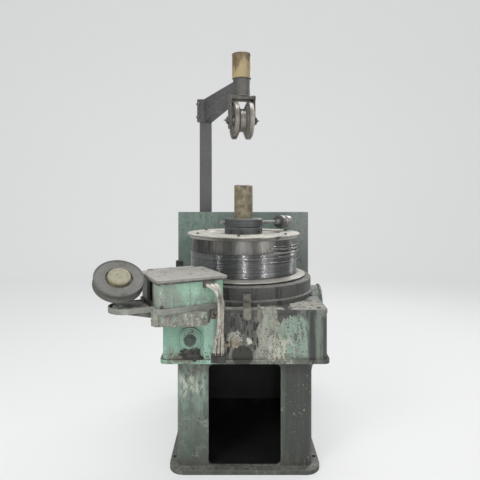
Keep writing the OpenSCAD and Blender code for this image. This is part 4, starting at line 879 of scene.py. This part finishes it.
def heap(bm, matrix, width, depth, height, room, cells=44, seed=0.0, level=0.45, lumpy=0.75):
    """Powder on a flat face. room(x, y) is the distance to the edge of the free space."""
    def build(bm):
        grid = bmesh.ops.create_grid(bm, x_segments=cells, y_segments=max(4, int(cells * depth / width)),
                                     size=1.0, matrix=Matrix.Diagonal((width / 2, depth / 2, 1, 1)))["verts"]
        lost = [v for v in grid if room(v.co.x, v.co.y) < 0]
        bmesh.ops.delete(bm, geom=lost, context="VERTS")
        for v in bm.verts:
            spread = min(1.0, room(v.co.x, v.co.y) / 0.020)
            lumps = noise.fractal(Vector((v.co.x * 22 + seed, v.co.y * 22, seed)), 0.9, 2.2, 5)
            v.co.z = height * spread * max(0.0, level + lumpy * lumps) - 0.0009
    fresh = place_part(bm, build)
    bmesh.ops.transform(bm, matrix=matrix, verts=fresh)


# %% Flakes and lumps
def flake(bm, place, size, axis=(0, -1, 0), thick=0.0009, tall=1.6):
    """A flake of paint: a torn plate, a little longer than wide."""
    def build(bm):
        ring = bmesh.ops.create_circle(bm, cap_ends=True, segments=11, radius=size)["verts"]
        for v in ring:
            v.co *= random.uniform(0.55, 1.15)
            v.co.y *= tall
        faces = linked(ring, "link_faces")
        made = bmesh.ops.extrude_face_region(bm, geom=faces)["geom"]
        top = [v for v in made if isinstance(v, bmesh.types.BMVert)]
        bmesh.ops.translate(bm, verts=top, vec=(0, 0, thick))
        bmesh.ops.scale(bm, verts=top, vec=(0.9, 0.9, 1))
    place_part(bm, build, place, axis)


def blob(bm, place, size, seed=0.0, detail=3, rough=0.35):
    """A lump of grease and powder."""
    def build(bm):
        ball = bmesh.ops.create_icosphere(bm, subdivisions=detail, radius=1.0)["verts"]
        for v in ball:
            lump = noise.fractal(v.co * 1.9 + Vector((seed, seed, seed)), 0.8, 2.1, 4)
            v.co *= 1 + rough * lump
            v.co = Vector((v.co.x * size[0], v.co.y * size[1], v.co.z * size[2]))
    place_part(bm, build, place)


# %% Ending a piece
def piece(name, bm, material, body, slot, smooth_angle=40, replaces=()):
    """Ends a fine piece: outward faces, one material, and the body that it moves with."""
    bmesh.ops.recalc_face_normals(bm, faces=bm.faces)
    made = finished_mesh(name, bm, smooth_angle)
    made.data.materials.append(material)
    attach(made, body)
    if replaces:
        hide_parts(*replaces)
    print(name, "faces:", len(made.data.polygons))
    return made


# %% [markdown]
# The wire on the drum is one long coil. Spinning a small circle while it climbs makes the
# helix in one operation, because spin takes a rise as well as an angle. A little noise on
# each turn keeps it from looking machined. The coil replaces the plain rings of the frame.

# %% Wire coil
wraps_low, wraps_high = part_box("wire_wraps")
wire_finish = worn_metal("wire_steel", (0.108, 0.109, 0.110), (0.290, 0.291, 0.294), rough=(0.15, 0.23),
                         metallic=0.97, dust=0.0, axis=UPRIGHT, oil=0.05, rust=0.0, relief=0.05)
# The loose turns are the same wire, made paler than the coil: painted highlight for the light on the loops.
loose_finish = worn_metal("loose_wire_steel", (0.220, 0.218, 0.212), (0.460, 0.455, 0.440),
                          rough=(0.14, 0.26), metallic=0.95, dust=0.0, oil=0.1, rust=0.0)
WIRE_RADIUS = 3.0 * MM
WIRE_TURNS = 20
STEPS_A_TURN = 90
coil_radius = wraps_high.x - 3.2 * MM
coil_rise = wraps_high.z - wraps_low.z - 2 * WIRE_RADIUS - 0.2 * MM

bm = bmesh.new()
ring = bmesh.ops.create_circle(bm, segments=6, radius=WIRE_RADIUS)["verts"]
bmesh.ops.rotate(bm, verts=ring, cent=(0, 0, 0), matrix=Matrix.Rotation(math.radians(90), 3, "X"))
bmesh.ops.translate(bm, verts=ring, vec=(coil_radius, 0, wraps_low.z + WIRE_RADIUS + 0.1 * MM))
steps = WIRE_TURNS * STEPS_A_TURN
bmesh.ops.spin(bm, geom=list(bm.edges), cent=(0, 0, 0), axis=(0, 0, 1), angle=2 * math.pi * WIRE_TURNS,
               steps=steps, dvec=(0, 0, coil_rise / steps))
bmesh.ops.holes_fill(bm, edges=[e for e in bm.edges if e.is_boundary], sides=8)
for v in bm.verts:
    v.co.z += noise.noise(Vector((v.co.x * 5, v.co.y * 5, v.co.z * 60))) * 0.9 * MM
    v.co.xy *= 1 + (noise.noise(Vector((v.co.x * 4, v.co.y * 4, v.co.z * 90))) - 0.4) * 0.0022
piece("wire_coil", bm, wire_finish, "drum", "wire", 80, ["wire_wraps"])

# %% [markdown]
# A few turns have sprung off on the right and stand a little askew above the coil. Each is an
# arc in a plane that leans, swept into a wire. Its ends dip back into the coil, so that none
# stops in the air.

# %% Loose turns of wire
# Height and radius in metres, then lean, side it leans to, first and last angle in degrees.
LOOSE_TURNS = (
    (0.948, 0.2893, 0.6, 20, -70, 58),
    (0.971, 0.2897, -0.8, 10, -60, 52),
    (0.990, 0.2890, 0.9, 10, -72, 66),
    (0.999, 0.2900, 1.7, -15, -62, 58),
    (1.006, 0.2885, 0.7, 30, -50, 74),
    (1.015, 0.2895, 1.3, 5, -66, 50),
    (1.026, 0.2885, 1.0, -10, -58, 62),
)
ARC_STEPS = 56
bm = bmesh.new()
for level, radius, lean, side, first, last in LOOSE_TURNS:
    lean_axis = Matrix.Rotation(math.radians(side), 3, "Z") @ Vector((0, 1, 0))
    tilt = Matrix.Rotation(math.radians(lean), 3, lean_axis)
    path = []
    for i in range(ARC_STEPS + 1):
        part = i / ARC_STEPS
        turn = math.radians(first + (last - first) * part)
        reach = radius - 0.014 * abs(2 * part - 1) ** 7
        flat = Vector((reach * math.cos(turn), reach * math.sin(turn), 0))
        path.append(tilt @ flat + Vector((0.001, 0, level)))
    sweep(bm, path, 2.4 * MM, 8)
piece("loose_wire", bm, loose_finish, "drum", "wire", 80)

# %% [markdown]
# Six round-headed screws hold the flange and four hold the hub. They turn with the drum, so
# they are a mesh of their own.

# %% Screws on the drum
FLANGE_SCREWS_R, FLANGE_TOP = 0.262, 1.0755
HUB_SCREWS_R, HUB_MIDDLE = 0.1015, 1.084
bm = bmesh.new()
for i in range(6):
    angle = math.radians(60 * i + 24)
    place = (FLANGE_SCREWS_R * math.cos(angle), FLANGE_SCREWS_R * math.sin(angle), FLANGE_TOP)
    bolt(bm, place, size=0.0075, sides=16, washer=False)
for i in range(4):
    angle = math.radians(90 * i + 50)
    outward = Vector((math.cos(angle), math.sin(angle), 0))
    place = outward * HUB_SCREWS_R + Vector((0, 0, HUB_MIDDLE))
    bolt(bm, place, outward, size=0.006, sides=12, washer=False)
piece("drum_screws", bm, black_iron, "drum", "greasy_iron")

# %% [markdown]
# Coolant hoses leave the die box, turn down and run to the manifold. Their path is the same
# curve as in the solids, with a little sway, and thin cables lie in the gaps between them.
# The swept tubes replace the plain hoses, which have flat facets.

# %% Hoses
DIE_TURN = Matrix.Rotation(math.radians(27), 4, "Z")
DIE_FRAME = DIE_TURN @ Matrix.Translation((-0.458, -0.2832, 0))
DIE_OUT = DIE_TURN.to_3x3() @ Vector((0, -1, 0))
HOSE_SIDES = (-0.019, 0.0, 0.019)
HALF_STEPS = 16
HOSE_STEPS = 2 * HALF_STEPS
HOSE_RADII = [0.0078 - 0.0020 * math.sin(math.pi * i / HOSE_STEPS) ** 0.5 for i in range(HOSE_STEPS + 1)]


def bezier(a, b, c, d, t):
    return (1 - t) ** 3 * a + 3 * t * (1 - t) ** 2 * b + 3 * t * t * (1 - t) * c + t ** 3 * d


def hose_path(side, sway, forward=0.0):
    """Middle line of a hose that lies side metres off the bundle's middle."""
    up = Vector((0, 0, 1))
    a = DIE_FRAME @ Vector((0.072 + side, -0.149, 0.901))
    m = DIE_FRAME @ Vector((0.112 + side * 0.92, -0.167 - forward, 0.795))
    e = Vector((-0.118 + side, -0.452 - forward, 0.566))
    squeeze = 0.42
    path = [bezier(a, a + DIE_OUT * 0.040, m + up * 0.084, m, i / HALF_STEPS) for i in range(HALF_STEPS + 1)]
    path += [bezier(m, m - up * 0.100, e + up * 0.090, e, i / HALF_STEPS) for i in range(1, HALF_STEPS + 1)]
    for i, point in enumerate(path):
        swing = math.sin(math.pi * i / (len(path) - 1)) ** 2
        point.x -= min(1.0, swing * 1.6) * squeeze * side
        point.x += swing * 0.004 * noise.noise(Vector((sway, i * 0.16, 0)))
        point.y -= swing * 0.005 * abs(noise.noise(Vector((i * 0.13, sway, 2))))
    return path


bm = bmesh.new()
for k, side in enumerate(HOSE_SIDES):
    sweep(bm, hose_path(side, k * 3.3), HOSE_RADII, 14)
for k, side in enumerate((-0.013, 0.001, 0.014)):
    sweep(bm, hose_path(side, 9 + k * 2.7, 0.0065), 0.0030, 8)
piece("coolant_hoses", bm, hose_rubber, "frame", "hose_rubber", 60, ["hoses"])

# %% Hose clamps
bm = bmesh.new()
for side in HOSE_SIDES:
    start = DIE_FRAME @ Vector((0.072 + side, -0.152, 0.901))
    sweep(bm, [start, start + DIE_OUT * 0.008], 0.0092, 18)
    foot = Vector((-0.118 + side, -0.452, 0.568))
    sweep(bm, [foot, foot + Vector((0, 0, 0.009))], 0.0092, 18)
    block(bm, foot + Vector((-0.004, -0.013, 0.0005)), foot + Vector((0.004, -0.008, 0.0085)), 0.0008)
piece("hose_clamps", bm, grey_steel, "frame", "grey_steel")

# %% [markdown]
# The lid's edge is folded down into a lip that years of lifting have made wavy. A grid is
# bent into a strip and then given its thickness. It rides on the lid, so it lifts with it.

# %% Lip of the lid
def lip(bm, start, end, seed):
    """An upright strip of sheet under the lid, with a wavy lower edge."""
    start, end = Vector(start), Vector(end)
    out = Vector((end.y - start.y, start.x - end.x, 0)).normalized()
    def build(bm):
        grid = bmesh.ops.create_grid(bm, x_segments=48, y_segments=3, size=1.0)["verts"]
        for v in grid:
            along, down = (v.co.x + 1) / 2, (1 - v.co.y) / 2
            wave = noise.noise(Vector((along * 9 + seed, seed, 0)))
            v.co = start.lerp(end, along) + out * (0.0010 * wave * down)
            v.co.z -= down * (0.0062 + 0.0024 * wave)
        faces = linked(grid, "link_faces")
        bmesh.ops.solidify(bm, geom=faces, thickness=0.0012)
    bmesh.ops.transform(bm, matrix=DIE_FRAME, verts=place_part(bm, build))


bm = bmesh.new()
lip(bm, (-0.1525, -0.1415, 0.9225), (0.1525, -0.1415, 0.9225), 1.0)
lip(bm, (-0.1535, 0.100, 0.9225), (-0.1535, -0.1415, 0.9225), 2.0)
lip(bm, (0.1535, -0.1415, 0.9225), (0.1535, -0.040, 0.9225), 3.0)
piece("lid_lip", bm, lid_iron, "box_lid", "dusty_iron", 50)

# %% [markdown]
# Bolts, screws and beads of weld hold the frame together. All the ones of the fixed body
# share one mesh, because they never move apart.

# %% Bolts of the frame
HOUSING_TOP = 0.760
MOTOR_Y, MOTOR_Z = 0.522, 0.225
bm = bmesh.new()
post = Vector((-0.240, 0.530, 0))
OVER = Matrix.Translation((-0.010, 0, 0)) @ Matrix.Rotation(OVER_TURN, 4, "Z")
for sx in (-1, 1):
    for sy in (-1, 1):
        bolt(bm, post + Vector((sx * 0.054, sy * 0.054, 0.034)), size=0.0105)
        bolt(bm, OVER @ Vector((sx * 0.060, sy * 0.029, 1.810)), size=0.0045, washer=False)
for x in (-0.288, -0.205):
    for z in (1.785, 1.870):
        bolt(bm, (x, 0.483, z), (0, -1, 0), size=0.009)
COVER_BOLTS = ((0.340, -0.392), (0.351, -0.130), (0.351, 0.130), (0.340, 0.380), (0.110, 0.400),
               (-0.110, 0.400), (-0.351, 0.130), (-0.340, 0.380), (0.200, -0.402))
for x, y in COVER_BOLTS:
    bolt(bm, (x, y, HOUSING_TOP), size=0.0085)
bolt(bm, (0.010, -0.380, 0.790), (0, -1, 0), size=0.0075)
for x, y in ((-0.355, -0.585), (-0.185, -0.480)):
    bolt(bm, (x, y, 0.745), (0, 0, -1), size=0.008)
for x in (0.0594, 0.2508):
    for sy in (-1, 1):
        bolt(bm, (x, MOTOR_Y + sy * 0.088, 0.073), size=0.0085)
for i in range(4):
    angle = math.radians(90 * i + 45)
    spot = Vector((0, MOTOR_Y + 0.101 * math.cos(angle), MOTOR_Z + 0.101 * math.sin(angle)))
    bolt(bm, spot + Vector((0.330, 0, 0)), (1, 0, 0), size=0.006)
for u, v in ((-0.135, -0.112), (0.135, -0.112)):
    bolt(bm, DIE_FRAME @ Vector((u, -0.133, 0.825)), DIE_OUT, size=0.006)
for v in (-0.030, 0.030):
    bolt(bm, DIE_FRAME @ Vector((-0.2545, v, 0.813)), size=0.0055)
piece("frame_bolts", bm, grey_steel, "frame", "grey_steel")

# %% [markdown]
# The post, its foot, the sleeve and the yoke are welded. A bead is a sweep whose radius swells
# at each ripple, which catches the light as a real bead does.

# %% Beads of weld
bm = bmesh.new()
for turn in range(4):
    aim = Matrix.Rotation(math.radians(90 * turn), 3, "Z")
    for side in (-0.0045, 0.0045):
        foot, top = (post + aim @ Vector((0.0385, side, z)) for z in (0.036, 0.108))
        weld(bm, foot, top, 0.0035)
    weld(bm, post + aim @ Vector((0.038, -0.036, 0.034)), post + aim @ Vector((0.038, 0.036, 0.034)), 0.004)
weld(bm, (-0.292, 0.4915, 1.755), (-0.292, 0.4915, 1.899), 0.003)
ring_weld(bm, (-0.010, 0, 1.8105), 0.0463, 0.0040)
ring_weld(bm, (-0.010, 0, 1.9065), 0.0463, 0.003)
for side in (-0.0582, 0.0582):
    weld(bm, OVER @ Vector((side, -0.030, 1.7915)), OVER @ Vector((side, 0.030, 1.7915)), 0.0035)
gusset_top = [DIE_FRAME @ Vector((u, v, 0.7945)) for u, v in ((-0.275, -0.0075), (-0.140, -0.0075))]
weld(bm, gusset_top[0], gusset_top[1], 0.0035)
piece("weld_beads", bm, grey_steel, "frame", "grey_steel", 70)

# %% [markdown]
# Drawing powder spills from the die box and lies where nobody sweeps: in the tray, on the
# cover plate, in the die box and on the rear base. Each heap thins out to nothing at its edge,
# so every heap is told how far a point is from the edge of its free space.

# %% Powder and its room
powder_finish = Finish("drawing_powder", roughness=0.95)
powder_tone = powder_finish.band(powder_finish.cloud(60, 5, 0.75), 0.35, 0.65)
powder_finish.bump(powder_finish.cloud(210, 4, 0.75), 0.5, 0.0012)
powder_colour = powder_finish.mix(powder_tone, (0.165, 0.160, 0.143), (0.345, 0.337, 0.304))
powder_material = powder_finish.finish(powder_colour)


def tongue_room(x, y):
    """Room on the tray's tongue, from the box to the round end, in the die box's frame."""
    u, v = x - 0.225, y
    end = 0.069 - math.hypot(u + 0.244, v) if u < -0.244 else 0.069 - abs(v)
    return min(end, -0.148 - u)


def box_room(half_x, half_y):
    """Room in a rectangle of the given half widths."""
    return lambda x, y: min(half_x - abs(x), half_y - abs(y))


def table_room(at_x, at_y, half_x, half_y, radius):
    """Room in a rectangle round at_x, at_y on the housing, outside the round table."""
    box = box_room(half_x, half_y)
    return lambda x, y: min(box(x, y), math.hypot(x + at_x, y + at_y) - radius)


# %% Heaps of powder
bm = bmesh.new()
heap(bm, DIE_FRAME @ Matrix.Translation((-0.225, 0, 0.803)), 0.200, 0.150, 0.016, tongue_room, 60,
     1.0, 0.85, 0.4)
heap(bm, Matrix.Translation((0.290, -0.340, HOUSING_TOP)), 0.170, 0.170, 0.008,
     table_room(0.290, -0.340, 0.084, 0.084, 0.366), 44, 2.0)
heap(bm, Matrix.Translation((-0.290, 0.340, HOUSING_TOP)), 0.170, 0.170, 0.008,
     table_room(-0.290, 0.340, 0.084, 0.084, 0.366), 44, 3.0)
heap(bm, Matrix.Translation((-0.030, -0.397, HOUSING_TOP)), 0.420, 0.056, 0.009,
     table_room(-0.030, -0.397, 0.210, 0.028, 0.368), 120, 4.0)
heap(bm, DIE_FRAME @ Matrix.Translation((0.035, 0, 0.8103)), 0.190, 0.220, 0.022,
     box_room(0.094, 0.109), 44, 5.0)
heap(bm, Matrix.Translation((0.020, 0.520, 0.020)), 0.520, 0.200, 0.010,
     box_room(0.258, 0.098), 60, 6.0)
piece("powder_heaps", bm, powder_material, "frame", "dusty_iron", 80)

# %% Powder on the lid
bm = bmesh.new()
heap(bm, DIE_FRAME @ Matrix.Translation((0, -0.0035, 0.932)), 0.300, 0.266, 0.0040,
     box_room(0.149, 0.132), 64, 7.0, -0.05, 0.8)
piece("lid_powder", bm, powder_material, "box_lid", "dusty_iron", 80)

# %% [markdown]
# The hidden side has what such machines have: a fan cover with a grille, a terminal cover and
# a lifting eye on the motor, and two stiff ribs behind the guard.

# %% Motor fittings
MOTOR = Vector((0, MOTOR_Y, MOTOR_Z))
bm = bmesh.new()
for radius in (0.030, 0.052, 0.074, 0.096):
    ring = [MOTOR + Vector((-0.0405, radius * math.cos(t), radius * math.sin(t)))
            for t in once_round(40)]
    sweep(bm, ring, 0.0022, 6)
for i in range(8):
    out = Vector((0, math.cos(math.pi * i / 4), math.sin(math.pi * i / 4)))
    inner, outer = MOTOR + out * 0.030 - Vector((0.0405, 0, 0)), MOTOR + out * 0.100 - Vector((0.0405, 0, 0))
    sweep(bm, [inner, outer], 0.0026, 6)
eye = [MOTOR + Vector((0.010 + 0.017 * math.cos(t), 0, 0.135 + 0.017 * math.sin(t)))
       for t in once_round(32)]
sweep(bm, eye, 0.0048, 8)
bolt(bm, MOTOR + Vector((0.010, 0, 0.114)), size=0.010, sides=20)
bolt(bm, (0.099, MOTOR_Y, 0.356), (-1, 0, 0), size=0.013)
cone(bm, (0.088, MOTOR_Y, 0.356), (1, 0, 0), 0.009, 0.008, 0.030, 20)
for x in (0.107, 0.201):
    for y in (0.470, 0.574):
        bolt(bm, (x, y, 0.3895), size=0.0045, sides=16, washer=False)
piece("motor_fittings", bm, black_iron, "frame", "greasy_iron", 50)

# %% Terminal cover and guard ribs
bm = bmesh.new()
block(bm, (0.097, 0.460, 0.3855), (0.211, 0.584, 0.3895), 0.0015)
piece("terminal_cover", bm, machine_paint, "frame", "green_paint")
bm = bmesh.new()
for x in (-0.120, 0.140):
    block(bm, (x - 0.016, 0.4315, 0.600), (x + 0.016, 0.4440, 1.150), 0.002)
piece("guard_ribs", bm, guard_paint, "frame", "dark_green_paint")

# %% [markdown]
# The sheave's axle is greased through a nipple at each end. Lumps show where grease dripped
# and caught powder. They are balls that noise has pushed out of shape, because a lump of
# grease has no edges.

# %% Grease nipples
bm = bmesh.new()
for side in (-1, 1):
    aim = OVER.to_3x3() @ Vector((side, 0, 0))
    end = OVER @ Vector((side * 0.086, 0, 1.682))
    bolt(bm, end, aim, size=0.0055)
    cone(bm, end + aim * 0.008, aim, 0.0034, 0.0022, 0.010, 12)
piece("grease_nipples", bm, grey_steel, "frame", "grey_steel", 50)

# %% Lumps of grease
bm = bmesh.new()
blob(bm, (-0.246, -0.430, 0.566), (0.036, 0.011, 0.018), 1.0, 4, 0.7)
blob(bm, (-0.226, -0.429, 0.550), (0.030, 0.010, 0.014), 2.0, 4, 0.7)
blob(bm, (-0.384, -0.470, 0.728), (0.026, 0.030, 0.016), 3.0)
blob(bm, (-0.330, -0.436, 0.722), (0.040, 0.018, 0.014), 4.0)
blob(bm, (-0.470, -0.600, 0.793), (0.030, 0.022, 0.010), 5.0)
for i in range(26):
    blob(bm, (random.uniform(-0.105, 0.060), -0.4235, random.uniform(0.575, 0.735)),
         (random.uniform(0.002, 0.005), 0.0018, random.uniform(0.006, 0.022)), i, 2)
grease_finish = worn_metal("grease", (0.016, 0.015, 0.014), (0.040, 0.036, 0.030), rough=(0.25, 0.5),
                           metallic=0.0, dust=0.35, oil=0.0, rust=0.0)
piece("grease_lumps", bm, grease_finish, "frame", "greasy_iron", 80)

# %% [markdown]
# The bracket under the tray has a thick crust of powder and old grease. A sheet of lumps
# covers its front, and a row of knobs hangs along its lower edge.

# %% Crust on the bracket
CRUST_ZONES = (
    (lambda f: f.band(f.cloud(30, 5, 0.7, shift=(3, 8, 1)), 0.52, 0.60, 0.0, 0.75), (0.270, 0.365, 0.300)),
    (lambda f: f.band(f.cloud(46, 4, 0.7, shift=(7, 2, 5)), 0.60, 0.66, 0.0, 0.80), (0.620, 0.600, 0.500)),
    (lambda f: f.band(f.cloud(38, 4, 0.7, shift=(1, 5, 9)), 0.66, 0.70, 0.0, 0.70), (0.330, 0.165, 0.070)),
)
crust_paint = worn_paint("crust_paint", (0.255, 0.262, 0.220), (0.430, 0.430, 0.365), (0.115, 0.104, 0.078),
                         chips=0.5, grime=0.4, dust=0.3, streaks=0.1, specks=0.9, zones=CRUST_ZONES)
FACE_OUT = Matrix.Rotation(math.radians(90), 4, "X")
bm = bmesh.new()
heap(bm, Matrix.Translation((-0.272, -0.602, 0.768)) @ FACE_OUT, 0.228, 0.054, 0.0060,
     lambda x, y: min(0.112 - abs(x), 0.026 - abs(y)) + 0.003, 90, 8.0, 0.5, 0.9)
for i in range(34):
    x = -0.384 + 0.0060 * i + random.uniform(-0.003, 0.003)
    blob(bm, (x, -0.597 + random.uniform(-0.003, 0.004), 0.744 + random.uniform(-0.004, 0.002)),
         (random.uniform(0.006, 0.012), 0.007, random.uniform(0.005, 0.011)), 40 + i, 2)
piece("bracket_crust", bm, crust_paint, "frame", "green_paint", 80)

# %% [markdown]
# Torn flakes of mint enamel and of pale filler still cling to the housing's front. Relief in a
# material throws no shadow at its edge, so they are thin plates with a torn outline.

# %% Paint flakes
flake_mint = worn_paint("flake_mint", MINT, MINT_PALE, (0.150, 0.270, 0.205), chips=0.2, grime=0.5,
                        streaks=0.0)
flake_cream = worn_paint("flake_cream", CREAM, (0.640, 0.620, 0.530), (0.360, 0.330, 0.240), chips=0.1,
                         grime=0.4, streaks=0.0)
FLAKE_Y = -0.4229
for name, material, areas in (
        ("flakes_mint", flake_mint, ((0.060, 0.270, 0.540, 0.730, 22), (-0.350, -0.200, 0.535, 0.600, 26))),
        ("flakes_cream", flake_cream, ((-0.092, -0.020, 0.594, 0.652, 34), (0.050, 0.240, 0.530, 0.740, 14),
                                       (0.060, 0.370, 0.5385, 0.541, 9)))):
    bm = bmesh.new()
    for x0, x1, z0, z1, count in areas:
        for i in range(count):
            spot = (random.uniform(x0, x1), FLAKE_Y, random.uniform(z0, z1))
            flake(bm, spot, random.uniform(0.0015, 0.0065), thick=random.uniform(0.0005, 0.0012))
    piece(name, bm, material, "frame", "green_paint", 30)

# %% [markdown]
# One scar beside the boss has a curled rim, shaped like a lens. A thin sweep round it catches
# the light.

# %% Rim of the scar
bm = bmesh.new()
lens = [Vector((0.078 + 0.021 * math.cos(t), FLAKE_Y, 0.603 + 0.009 * math.sin(t) * abs(math.sin(t)) ** 0.5))
        for t in once_round(40)]
sweep(bm, lens, 0.0013, 6)
piece("flake_rim", bm, flake_cream, "frame", "green_paint", 80)
